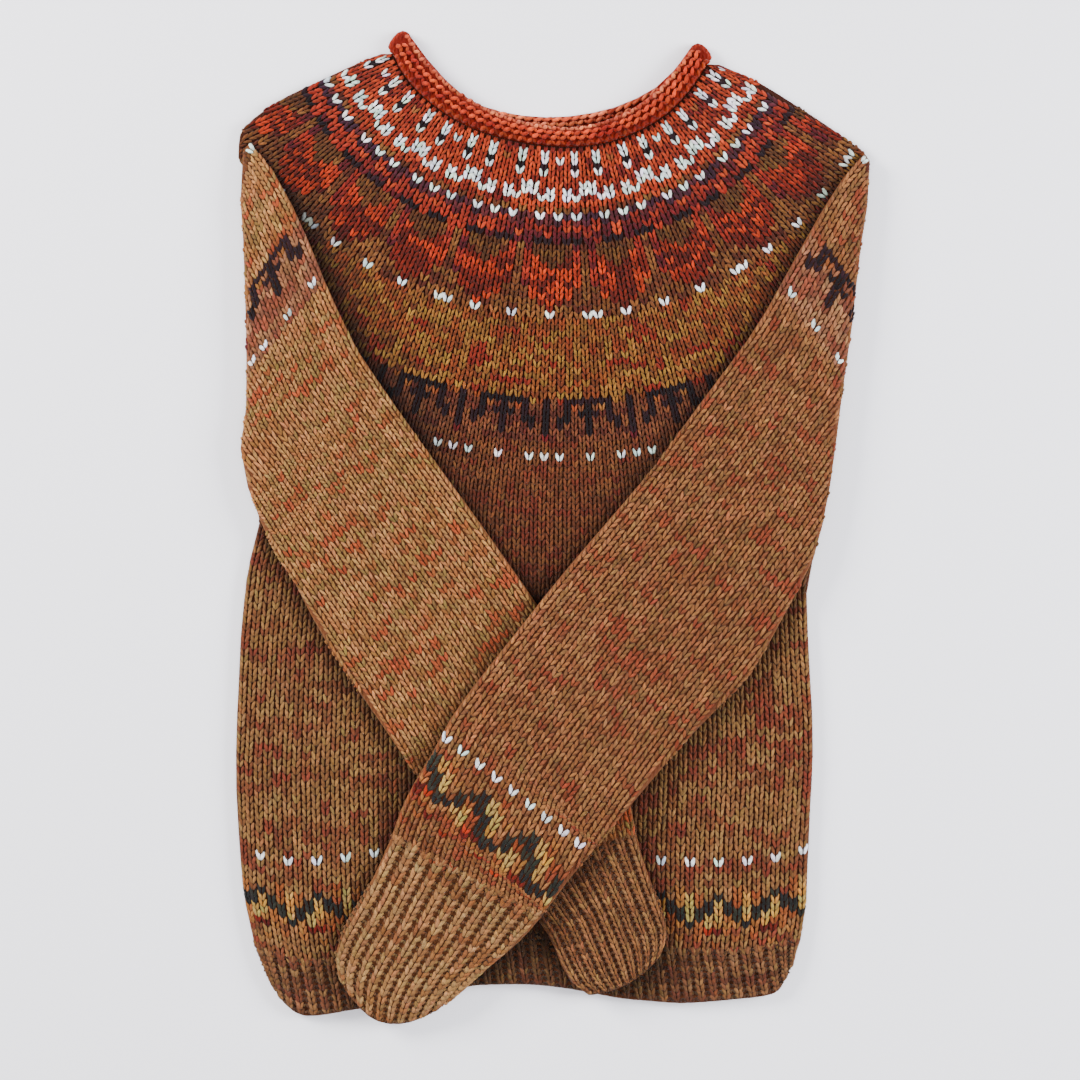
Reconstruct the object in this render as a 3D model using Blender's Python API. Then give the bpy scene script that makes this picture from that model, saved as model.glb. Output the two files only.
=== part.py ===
"""A hand-knitted round-yoke sweater laid flat, its sleeves folded over the front.

The plan is drawn in millimetres with the neck towards +Y, seen from straight above, and the
origin in the middle of the outline at the level of the surface it lies on.
"""
import math

import bmesh
import bpy
import numpy as np

MM = 0.001

# Cloth
WALL = 3.5
SEAM_GAP = 0.3
REST_GAP = 0.8
LOFT = 2.2
LOFT_RUN = 70.0
EDGE_RUN = 7.0
EDGE_LIP = 1.0
HEM_RUN = 3.0
CREASE_RUN = 25.0

# Folds of the laid garment
FOLD_INSET = 16.0
FOLD_TOP = (262.0, 228.0)
FOLD_FOOT = (52.0, 12.0)
DROP_TOP = (238.0, 212.0)
DROP_FOOT = (98.0, 64.0)
SLEEVE_HEIGHT = 7.6
SLEEVE_FULL = 1.2
SLEEVE_EDGE = 6.5
FOLD_EDGE = 10.0
FOLD_REACH = 8.0
FOLD_LEDGE = 8.0
FOLD_RAMP = 6.5
DROOP_BELOW = -250.0
OVERLAP_RUN = 26.0
OVERLAP_LEDGE = 5.0
DROOP_RUN = 14.0
DROOP_LEDGE = 6.0

# Ribbing
HEM_RIBS = 44
RIGHT_CUFF_RIBS = 11
LEFT_CUFF_RIBS = 9
RIB_DEPTH = 1.5

# Neckband
BAND_SEAT = 0.15
BACK_ROLL = 3.45
BACK_WALL = 3.0
ROLL_FLOOR = 3.55
ROLL_SPARE = 0.45

# Flattened tubes
ROUND_SHARE = 0.42
STEP_SHARE = 0.56
SLIT_GAP = 0.35
MOUTH_PINCH = 0.8

# Shares of the hem line taken up by its two lower corners
HEM_CORNERS = (0.10, 0.09)

# Where the patterned yoke ends and the plain body begins
YOKE_FOOT = 42.7

# Shares of each panel's height at which its grid has a row
FRONT_YOKE_ROWS = (0.0, 0.004, 0.012, 0.03, 0.07, 0.11, 0.15, 0.2, 0.3, 0.4, 0.52, 0.64, 0.76, 0.88, 1.0)
BACK_YOKE_ROWS = (0.0, 0.012, 0.04, 0.08, 0.12, 0.16, 0.2, 0.4, 0.7, 1.0)
FRONT_BODY_ROWS = (0.0, 0.04, 0.08, 0.12, 0.2, 0.28, 0.36, 0.44, 0.52, 0.6, 0.68, 0.76, 0.84, 0.92, 1.0)
BACK_BODY_ROWS = (0.0, 0.04, 0.08, 0.12, 0.24, 0.4, 0.55, 0.7, 0.85, 1.0)

LEFT_SHOULDER = (  # x, y from the outer corner to the neck
    (-219.0, 274.5), (-214.5, 281.5), (-206.0, 288.5), (-196.5, 295.5), (-184.0, 302.5),
    (-169.0, 309.5), (-153.0, 317.0), (-139.0, 323.5), (-129.0, 327.5), (-120.5, 331.0),
)

RIGHT_SHOULDER = (  # x, y from the neck to the outer corner
    (117.0, 323.5), (124.0, 320.0), (131.0, 317.5), (145.0, 311.0), (159.0, 302.5), (173.0, 293.5),
    (187.0, 284.5), (201.0, 275.0), (210.5, 268.0), (218.0, 262.5),
)

LEFT_SIDE = (  # x, y down the left outline
    (-219.0, 274.5), (-220.0, 267.5), (-221.0, 256.0), (-219.5, 242.0), (-217.5, 225.5),
    (-216.5, 197.5), (-216.0, 158.0), (-214.5, 123.0), (-214.5, 88.0), (-216.5, 71.5),
    (-219.0, 56.0), (-217.5, 43.5), (-212.5, 29.5), (-207.5, 15.5), (-205.5, 1.5), (-209.0, -12.5),
    (-214.0, -32.0), (-216.5, -54.5), (-219.0, -82.5), (-220.0, -110.5), (-221.5, -138.5),
    (-222.0, -166.5), (-221.5, -194.5), (-219.5, -222.5), (-217.5, -250.5), (-215.0, -266.5),
    (-212.5, -280.0), (-209.0, -292.5),
)

RIGHT_SIDE = (  # x, y down the right outline
    (218.0, 262.5), (221.5, 256.0), (223.0, 249.0), (222.0, 239.5), (220.0, 225.5), (217.5, 211.5),
    (215.0, 197.5), (212.0, 169.5), (209.0, 141.5), (205.5, 113.5), (201.0, 85.5), (198.0, 57.5),
    (193.5, 29.5), (189.5, 1.5), (185.0, -17.0), (181.0, -28.0), (177.5, -40.5), (178.0, -54.5),
    (179.0, -68.5), (179.5, -87.0), (181.0, -110.5), (182.5, -138.5), (182.5, -166.5),
    (181.0, -194.5), (179.0, -222.5), (179.0, -248.0), (178.0, -264.5), (176.0, -278.5),
    (174.0, -290.0),
)

HEM = (  # x, y along the bottom edge, left to right
    (-209.0, -292.5), (-204.0, -306.5), (-197.0, -320.5), (-188.5, -334.0), (-177.0, -342.5),
    (-163.0, -343.0), (-145.0, -340.0), (-124.0, -336.5), (-100.0, -332.0), (-79.0, -327.0),
    (-57.5, -322.5), (-37.0, -321.5), (-15.5, -321.5), (5.0, -323.5), (26.0, -327.0),
    (47.0, -331.0), (68.0, -333.0), (89.0, -334.5), (110.0, -333.5), (131.0, -331.5),
    (145.0, -330.0), (156.5, -327.0), (163.5, -318.5), (168.5, -306.5), (174.0, -290.0),
)

RIB_TOP = (  # x, y where the hem ribbing begins, left to right
    (-209.0, -292.5), (-200.5, -300.5), (-189.5, -305.0), (-173.0, -308.0), (-152.0, -306.5),
    (-123.0, -301.5), (-86.0, -295.5), (-37.0, -288.5), (5.0, -288.5), (47.0, -295.5),
    (89.0, -299.5), (123.0, -300.5), (152.0, -297.0), (166.0, -293.5), (174.0, -290.0),
)

NECK_FRONT = (  # seam x, y, free edge x, y, roll height
    (-111.5, 331.0, -100.5, 345.0, 7.5), (-107.5, 321.5, -96.0, 336.0, 8.0),
    (-101.0, 312.0, -90.0, 328.5, 8.6), (-93.0, 303.0, -81.0, 318.5, 9.0),
    (-81.5, 293.5, -69.5, 307.5, 9.4), (-67.5, 284.0, -57.0, 297.5, 9.6),
    (-49.5, 276.0, -41.5, 290.5, 9.8), (-28.5, 270.0, -24.0, 284.0, 9.8),
    (-6.5, 266.5, -5.0, 280.0, 9.8), (15.0, 265.5, 13.5, 278.5, 9.8),
    (36.0, 268.0, 32.0, 282.0, 9.8), (55.5, 274.5, 49.5, 288.5, 9.6),
    (72.0, 283.0, 63.5, 297.0, 9.4), (84.5, 292.5, 74.5, 306.5, 9.0),
    (95.0, 304.0, 83.0, 316.5, 8.6), (102.5, 314.5, 90.0, 325.5, 8.0),
    (108.0, 323.5, 97.5, 336.0, 7.5),
)

NECK_BACK = (  # seam x, y, free edge x, y
    (108.0, 323.5, 97.5, 336.0), (99.0, 311.5, 88.5, 323.5), (86.0, 299.5, 75.0, 310.0),
    (68.0, 290.5, 60.0, 301.0), (50.0, 283.5, 43.0, 294.0), (30.5, 279.5, 26.0, 290.0),
    (9.5, 276.5, 7.5, 287.5), (-11.5, 276.5, -11.5, 287.5), (-32.5, 279.5, -30.5, 290.0),
    (-51.0, 284.0, -46.0, 294.0), (-67.5, 292.5, -60.0, 300.5), (-84.5, 304.0, -74.5, 313.0),
    (-101.0, 317.0, -89.0, 329.5), (-111.5, 331.0, -100.5, 345.0),
)

LEFT_SLEEVE = (  # top edge x, y, outer edge x, y, height
    (-212.0, 268.0, -216.5, 262.0, 2.4), (-202.5, 259.0, -219.0, 242.0, 3.6),
    (-190.0, 239.5, -217.5, 217.0, 5.4), (-174.5, 208.5, -216.0, 183.5, 6.8),
    (-156.0, 164.0, -214.5, 133.0, 7.6), (-135.0, 120.5, -214.5, 80.0, 7.6),
    (-113.5, 89.5, -218.0, 45.0, 7.6), (-93.0, 60.0, -207.0, 12.5, 7.6),
    (-70.5, 29.5, -197.0, -13.5, 7.6), (-47.0, -3.0, -179.5, -40.5, 7.6),
    (-26.0, -33.0, -161.5, -75.5, 7.6), (-5.0, -63.5, -144.0, -103.0, 7.6),
    (13.5, -94.0, -120.5, -136.5, 7.6), (29.5, -125.5, -97.5, -170.0, 7.6),
    (43.0, -158.0, -74.5, -202.5, 7.6), (53.0, -188.5, -51.0, -231.0, 7.6),
    (58.5, -215.0, -28.5, -256.0, 7.6),
)

LEFT_CUFF = (  # top edge x, y, outer edge x, y, bow
    (58.5, -215.0, -28.5, -256.0, 0.0), (62.5, -231.0, -15.0, -269.5, 1.0),
    (69.0, -249.0, -4.5, -283.0, 2.0), (75.0, -264.0, 2.5, -297.0, 3.0),
    (79.5, -277.0, 7.5, -309.5, 4.0), (79.5, -288.5, 14.5, -320.0, 5.0),
    (74.5, -300.5, 25.0, -327.5, 6.0),
)

RIGHT_SLEEVE = (  # top edge x, y, outer edge x, y, height
    (218.0, 261.0, 222.0, 255.0, 2.4), (209.5, 251.5, 222.0, 236.5, 3.6),
    (197.0, 234.5, 219.0, 214.0, 5.4), (181.5, 208.5, 214.5, 185.0, 6.8),
    (164.0, 177.0, 210.5, 145.5, 7.6), (143.0, 140.0, 204.0, 101.0, 7.6),
    (120.0, 108.0, 198.0, 57.5, 7.6), (97.0, 77.5, 191.5, 14.0, 7.6),
    (72.0, 42.5, 181.5, -25.0, 7.6), (46.5, 12.5, 171.0, -45.0, 7.6),
    (20.5, -17.5, 156.5, -72.0, 7.6), (-3.0, -45.5, 139.5, -102.0, 7.6),
    (-26.0, -75.0, 116.5, -126.0, 7.6), (-48.5, -103.0, 92.0, -151.0, 7.6),
    (-69.5, -131.5, 69.0, -177.0, 7.6), (-87.0, -164.0, 45.0, -204.5, 7.6),
    (-100.0, -185.0, 25.0, -229.0, 7.6), (-107.5, -202.5, 6.5, -251.5, 7.6),
    (-113.0, -218.5, -8.0, -271.5, 7.6),
)

RIGHT_CUFF = (  # top edge x, y, outer edge x, y, bow
    (-113.0, -218.5, -8.0, -271.5, 0.0), (-120.0, -234.5, -18.0, -283.5, 2.0),
    (-129.0, -252.5, -27.5, -294.0, 6.0), (-139.5, -268.0, -38.0, -302.5, 10.5),
    (-146.5, -283.0, -48.0, -311.0, 15.5), (-151.5, -298.0, -59.0, -320.5, 21.0),
    (-149.0, -315.0, -70.5, -329.5, 26.0),
)

CREASES = (  # x, y, direction in degrees, half length, half width, height
    (-70.0, -150.0, 96.0, 90.0, 26.0, 0.9),
    (-150.0, -60.0, 84.0, 80.0, 28.0, -0.8),
    (85.0, -235.0, 82.0, 60.0, 26.0, 0.8),
    (-20.0, 150.0, 4.0, 70.0, 30.0, 0.7),
    (140.0, -140.0, 92.0, 90.0, 26.0, -0.8),
    (-120.0, 190.0, 128.0, 60.0, 26.0, 0.7),
    (120.0, 200.0, 52.0, 60.0, 26.0, 0.6),
)

BAND_SECTION = (  # share of the band's width, share of the wall, share of the roll above it
    (0.00, 0.00, 0.00),
    (0.00, 1.00, 0.00),
    (0.13, 1.00, 0.02),
    (0.05, 1.00, 0.30),
    (0.09, 1.00, 0.66),
    (0.28, 1.00, 0.93),
    (0.52, 1.00, 1.00),
    (0.76, 1.00, 0.88),
    (0.94, 1.00, 0.45),
    (1.00, 0.85, 0.00),
    (0.97, 0.35, 0.00),
    (0.88, 0.00, 0.00),
)

BAND_TURN = (30.0, 60.0, 90.0, 120.0, 150.0)

COLOURS = {  # linear red, green, blue of each piece's main yarn
    "body_front": (0.29, 0.14, 0.06),
    "body_back": (0.27, 0.13, 0.06),
    "yoke_front": (0.42, 0.12, 0.04),
    "yoke_back": (0.40, 0.12, 0.04),
    "hem_rib_front": (0.20, 0.10, 0.05),
    "hem_rib_back": (0.19, 0.10, 0.05),
    "neckband": (0.50, 0.09, 0.03),
    "left_sleeve": (0.32, 0.13, 0.05),
    "right_sleeve": (0.42, 0.19, 0.07),
    "left_cuff": (0.30, 0.15, 0.06),
    "right_cuff": (0.46, 0.25, 0.11),
}


def smooth(t):
    """Ease from 0 to 1."""
    t = np.clip(t, 0.0, 1.0)
    return t * t * (3.0 - 2.0 * t)


def quarter_round(d, run):
    """Height share of a rounded edge at distance d inside it."""
    a = np.clip(d / run, 0.0, 1.0)
    return np.sqrt(1.0 - (1.0 - a) ** 2)


def spline(rows, steps):
    """Catmull-Rom curve through the rows, any number of columns."""
    p = np.asarray(rows, dtype=float)
    p = np.vstack([2 * p[0] - p[1], p, 2 * p[-1] - p[-2]])
    out = []
    for i in range(1, len(p) - 2):
        for k in range(steps):
            t = k / steps
            out.append(0.5 * (2 * p[i] + (p[i + 1] - p[i - 1]) * t
                              + (2 * p[i - 1] - 5 * p[i] + 4 * p[i + 1] - p[i + 2]) * t * t
                              + (3 * p[i] - p[i - 1] - 3 * p[i + 1] + p[i + 2]) * t ** 3))
    out.append(p[-2])
    return np.array(out)


def spread(curve, count):
    """Resample a curve to count rows, evenly along its first two columns."""
    step = np.hypot(*np.diff(curve[:, :2], axis=0).T)
    run = np.concatenate([[0.0], np.cumsum(step)])
    want = np.linspace(0.0, run[-1], count)
    return np.array([np.interp(want, run, col) for col in curve.T]).T


def distance(x, y, line):
    """Distance of points to an open polyline."""
    x = np.atleast_1d(x)
    y = np.atleast_1d(y)
    a = line[:-1]
    d = line[1:] - a
    px = x[:, None] - a[None, :, 0]
    py = y[:, None] - a[None, :, 1]
    t = np.clip((px * d[:, 0] + py * d[:, 1]) / (d ** 2).sum(axis=1), 0.0, 1.0)
    return np.sqrt(((px - t * d[:, 0]) ** 2 + (py - t * d[:, 1]) ** 2).min(axis=1))


def inside(x, y, loop):
    """Whether points lie in a closed polygon."""
    x = np.atleast_1d(x)
    y = np.atleast_1d(y)
    hit = np.zeros(len(x), dtype=bool)
    for (ax, ay), (bx, by) in zip(loop, np.roll(loop, -1, axis=0)):
        if ay != by:
            cross = (ay > y) != (by > y)
            hit ^= cross & (x < (bx - ax) * (y - ay) / (by - ay) + ax)
    return hit


LEFT_LINE = spline(LEFT_SIDE, 4)
RIGHT_LINE = spline(RIGHT_SIDE, 4)
LEFT_TOP = spline(LEFT_SHOULDER, 3)
RIGHT_TOP = spline(RIGHT_SHOULDER, 3)
HEM_LINE = spline(HEM, 3)
RIB_LINE = spline(RIB_TOP, 3)


def side_x(y, line):
    """Outline x at height y on one side."""
    return np.interp(-np.asarray(y), -line[:, 1], line[:, 0])


def inset(y):
    """How far the flat panels stop short of the outline where the sleeve folds over."""
    top = smooth((FOLD_TOP[0] - y) / (FOLD_TOP[0] - FOLD_TOP[1]))
    foot = smooth((y - FOLD_FOOT[1]) / (FOLD_FOOT[0] - FOLD_FOOT[1]))
    return FOLD_INSET * top * foot


def fold_drop(y):
    """Share by which a folded sleeve reaches down past the panels to the surface."""
    top = smooth((DROP_TOP[0] - y) / (DROP_TOP[0] - DROP_TOP[1]))
    foot = smooth((y - DROP_FOOT[1]) / (DROP_FOOT[0] - DROP_FOOT[1]))
    return top * foot


def panel_side(line, sign):
    """Side outline of the flat panels, stepped in along the sleeve folds."""
    out = line.copy()
    out[:, 0] += sign * inset(line[:, 1])
    return out


LEFT_PANEL = panel_side(LEFT_LINE, 1.0)
RIGHT_PANEL = panel_side(RIGHT_LINE, -1.0)
LEFT_EDGE = np.vstack([LEFT_TOP[::-1], LEFT_PANEL[1:]])
RIGHT_EDGE = np.vstack([RIGHT_TOP, RIGHT_PANEL[1:]])
OUTLINE = np.vstack([LEFT_TOP, RIGHT_TOP, RIGHT_LINE[1:], HEM_LINE[::-1][1:], LEFT_LINE[::-1][1:]])


def creases(x, y):
    """Soft ridges and dents of the laid cloth."""
    z = np.zeros(len(np.atleast_1d(x)))
    for cx, cy, turn, half, width, height in CREASES:
        c = math.cos(math.radians(turn))
        s = math.sin(math.radians(turn))
        u = ((x - cx) * c + (y - cy) * s) / half
        v = ((y - cy) * c - (x - cx) * s) / width
        z += height * np.exp(-u * u - v * v)
    return z


def loft(x, y):
    """Lift of the front off the back."""
    d = np.minimum(distance(x, y, LEFT_EDGE), distance(x, y, RIGHT_EDGE))
    d = np.minimum(d, distance(x, y, HEM_LINE))
    rise = LOFT * smooth(d / LOFT_RUN) + creases(x, y) * smooth(d / CREASE_RUN)
    return np.maximum(rise, 0.0) * inside(x, y, OUTLINE)


def front_under(x, y):
    return WALL + SEAM_GAP + loft(x, y)


def terrain(x, y):
    """Top of the garment under a sleeve, dropped to the floor past the panels."""
    x = np.atleast_1d(x)
    y = np.atleast_1d(y)
    z = front_under(x, y) + WALL
    step = inset(y)
    share = fold_drop(y)
    for e in (x - side_x(y, LEFT_LINE), side_x(y, RIGHT_LINE) - x):
        rise = smooth((e - step + FOLD_LEDGE) / FOLD_RAMP)
        z = (z + REST_GAP) * (1.0 - share * (1.0 - rise)) - REST_GAP
    out = distance(x, y, HEM_LINE) * ~inside(x, y, OUTLINE) * (y < DROOP_BELOW)
    return z - (z + REST_GAP) * smooth((out - DROOP_LEDGE) / DROOP_RUN)


def plain_terrain(x, y):
    """The same without the side drop, for the upper faces of the sleeves."""
    z = front_under(x, y) + WALL
    out = distance(x, y, HEM_LINE) * ~inside(x, y, OUTLINE) * (np.atleast_1d(y) < DROOP_BELOW)
    return z - (z + REST_GAP) * smooth((out - DROOP_LEDGE) / DROOP_RUN)


def make_object(name, verts, faces):
    """Mesh object in metres with its own wool material."""
    mesh = bpy.data.meshes.new(name)
    mesh.from_pydata([tuple(MM * c for c in v) for v in verts], [], faces)
    bm = bmesh.new()
    bm.from_mesh(mesh)
    bmesh.ops.recalc_face_normals(bm, faces=bm.faces)
    bm.to_mesh(mesh)
    bm.free()
    mesh.polygons.foreach_set("use_smooth", [True] * len(mesh.polygons))
    obj = bpy.data.objects.new(name, mesh)
    bpy.context.scene.collection.objects.link(obj)
    mat = bpy.data.materials.new("wool_" + name)
    mat.use_nodes = True
    shader = mat.node_tree.nodes["Principled BSDF"]
    shader.inputs["Base Color"].default_value = (*COLOURS[name], 1.0)
    shader.inputs["Roughness"].default_value = 0.9
    mesh.materials.append(mat)
    return obj


def coons(top, bottom, left, right, us, vs):
    """Grid of plan points between four edge curves."""
    u = np.asarray(us)[None, :, None]
    v = np.asarray(vs)[:, None, None]
    return ((1 - v) * top[None] + v * bottom[None] + (1 - u) * left[:, None] + u * right[:, None]
            - (1 - u) * (1 - v) * top[0] - u * (1 - v) * top[-1]
            - (1 - u) * v * bottom[0] - u * v * bottom[-1])


def edge_round(x, y):
    """Height share at the garment's outline, softer at the sides than at the hem."""
    side = np.minimum(distance(x, y, LEFT_EDGE), distance(x, y, RIGHT_EDGE))
    hem = distance(x, y, HEM_LINE)
    return np.minimum(quarter_round(side, EDGE_RUN), 0.4 + 0.6 * quarter_round(hem, HEM_RUN))


def slab(name, grid, is_front, ribs=None):
    """A cloth panel between an under and an upper grid."""
    nv, nu, _ = grid.shape
    x = grid[..., 0].ravel()
    y = grid[..., 1].ravel()
    share = edge_round(x, y)
    if is_front:
        under = front_under(x, y)
        upper = under + WALL
        if ribs is not None:
            upper = upper - np.tile(ribs, nv) * RIB_DEPTH
        lip = under + EDGE_LIP
        upper = lip + (upper - lip) * share
    else:
        upper = np.full(len(x), WALL)
        under = (WALL - EDGE_LIP) * (1.0 - share)
    verts = [(a, b, c) for a, b, c in zip(x, y, under)]
    verts += [(a, b, c) for a, b, c in zip(x, y, upper)]
    size = nu * nv
    faces = []
    for j in range(nv - 1):
        for i in range(nu - 1):
            a = j * nu + i
            faces.append((a, a + nu, a + nu + 1, a + 1))
            faces.append((size + a, size + a + 1, size + a + nu + 1, size + a + nu))
    rim = [i for i in range(nu)] + [j * nu + nu - 1 for j in range(1, nv)]
    rim += [(nv - 1) * nu + i for i in range(nu - 2, -1, -1)] + [j * nu for j in range(nv - 2, 0, -1)]
    for a, b in zip(rim, rim[1:] + rim[:1]):
        faces.append((a, b, size + b, size + a))
    return make_object(name, verts, faces)


def fractions(width, fine, steps):
    """Shares of a width with extra lines close to both ends."""
    near = [d / width for d in fine]
    mid = np.linspace(near[-1], 1.0 - near[-1], steps)
    return near[:-1] + list(mid) + [1.0 - n for n in near[-2::-1]]


def on_side(line, y0, y1, vs):
    """Points of a side outline between two heights."""
    y = y0 + (y1 - y0) * np.asarray(vs)
    return np.column_stack([side_x(y, line), y])


def neck_rows(rows, count):
    """Evenly spaced stations along the neckline."""
    return spread(spline(rows, 6), count)


def seam_line(stations):
    """The yoke's side of the neck seam, one gap back from the band."""
    seam = stations[:, :2]
    out = seam - stations[:, 2:4]
    out /= np.hypot(out[:, 0], out[:, 1])[:, None]
    return seam + SEAM_GAP * out


def yoke(name, stations, is_front, shoulder_steps, vs):
    """Patterned round yoke from the neck seam down to the plain body."""
    left = spread(LEFT_TOP, shoulder_steps)
    right = spread(RIGHT_TOP, shoulder_steps)
    near = np.array([0.7, 2.2, 4.5])
    first = LEFT_TOP[0] + np.outer(near, (LEFT_TOP[1] - LEFT_TOP[0]) / np.hypot(*(LEFT_TOP[1] - LEFT_TOP[0])))
    last = RIGHT_TOP[-1] + np.outer(near[::-1], (RIGHT_TOP[-2] - RIGHT_TOP[-1])
                                    / np.hypot(*(RIGHT_TOP[-2] - RIGHT_TOP[-1])))
    top = np.vstack([left[:1], first, left[1:], seam_line(stations), right[:-1], last, right[-1:]])
    us = (top[:, 0] - top[0, 0]) / (top[-1, 0] - top[0, 0])
    x0 = side_x(YOKE_FOOT, LEFT_PANEL)
    x1 = side_x(YOKE_FOOT, RIGHT_PANEL)
    foot = YOKE_FOOT + SEAM_GAP / 2
    bottom = np.column_stack([x0 + us * (x1 - x0), np.full(len(us), foot)])
    grid = coons(top, bottom, on_side(LEFT_PANEL, top[0, 1], foot, vs),
                 on_side(RIGHT_PANEL, top[-1, 1], foot, vs), us, vs)
    return slab(name, grid, is_front)


def at_shares(curve, shares):
    """Points of a curve at shares of its length."""
    even = spread(curve, 400)
    span = np.linspace(0.0, 1.0, 400)
    return np.column_stack([np.interp(shares, span, even[:, k]) for k in range(2)])


BODY_SHARES = fractions(400.0, (0.0, 0.8, 2.4, 4.6, 7.5), 16)


def body(name, is_front, vs):
    """Plain body between the yoke and the hem ribbing."""
    us = BODY_SHARES
    head = YOKE_FOOT - SEAM_GAP / 2
    x0 = side_x(head, LEFT_PANEL)
    x1 = side_x(head, RIGHT_PANEL)
    top = np.column_stack([x0 + np.asarray(us) * (x1 - x0), np.full(len(us), head)])
    bottom = at_shares(RIB_LINE, us)
    bottom[:, 1] += 1.5 * SEAM_GAP
    left = on_side(LEFT_PANEL, head, bottom[0, 1], vs)
    right = on_side(RIGHT_PANEL, head, bottom[-1, 1], vs)
    bottom[0] = left[-1]
    bottom[-1] = right[-1]
    return slab(name, coons(top, bottom, left, right, us, vs), is_front)


def hem_rib(name, is_front, per_rib, rows):
    """Ribbed hem, its columns running from the body to the bottom edge."""
    us = np.linspace(0.0, 1.0, HEM_RIBS * per_rib + 1) if is_front else np.asarray(BODY_SHARES)
    vs = np.array(list(np.linspace(0.0, 0.9, rows - 2)) + [0.965, 1.0])
    nodes = at_shares(RIB_LINE, BODY_SHARES)
    top = np.column_stack([np.interp(us, BODY_SHARES, nodes[:, k]) for k in range(2)])
    start, end = HEM_CORNERS
    bottom = at_shares(HEM_LINE, start + us * (1.0 - start - end))
    left = at_shares(HEM_LINE, vs * start)
    right = at_shares(HEM_LINE, 1.0 - vs * end)
    grid = coons(top, bottom, left, right, us, vs)
    ribs = None
    if is_front:
        ribs = (np.arange(len(us)) % per_rib == 0).astype(float)
    return slab(name, grid, is_front, ribs)


def neckband(front, back):
    """One rolled band round the neck, turning over at the two shoulder points."""
    sections = []

    def add(row, roll, wall, turn, outward):
        seam = row[:2]
        rise = row[2:4] - seam
        width = np.hypot(*rise)
        rise = rise / width
        c = math.cos(math.radians(turn))
        s = math.sin(math.radians(turn))
        lift = loft(seam[:1], seam[1:2])[0] if turn == 0.0 else 0.0
        loop = []
        for share, wall_share, roll_share in BAND_SECTION:
            o = BAND_SEAT + wall_share * wall + roll_share * (roll - wall)
            x, y = seam + rise * share * width + outward * s * o
            loop.append((x, y, WALL + BAND_SEAT + lift + c * o))
        sections.append(loop)

    def corner(row, roll, outward, turns):
        for turn in turns:
            low = math.cos(math.radians(turn))
            high = roll if low > -0.1 else min(roll, ROLL_FLOOR / -low - BAND_SEAT)
            add(row, high, min(WALL, high - ROLL_SPARE), turn, outward)

    for row in front:
        add(row, row[4], WALL, 0.0, np.zeros(2))
    rise = (front[-1, 2:4] - front[-1, :2]) / np.hypot(*(front[-1, 2:4] - front[-1, :2]))
    corner(front[-1], front[-1, 4], np.array([rise[1], -rise[0]]), BAND_TURN)
    for row in back:
        add(row, BACK_ROLL, BACK_WALL, 180.0, np.zeros(2))
    rise = (front[0, 2:4] - front[0, :2]) / np.hypot(*(front[0, 2:4] - front[0, :2]))
    corner(front[0], front[0, 4], np.array([-rise[1], rise[0]]), BAND_TURN[::-1])

    n = len(BAND_SECTION)
    verts = [p for loop in sections for p in loop]
    faces = []
    count = len(sections)
    for j in range(count):
        for i in range(n):
            a = j * n + i
            b = j * n + (i + 1) % n
            c = ((j + 1) % count) * n + (i + 1) % n
            d = ((j + 1) % count) * n + i
            faces.append((a, b, c, d))
    return make_object("neckband", verts, faces)


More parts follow.
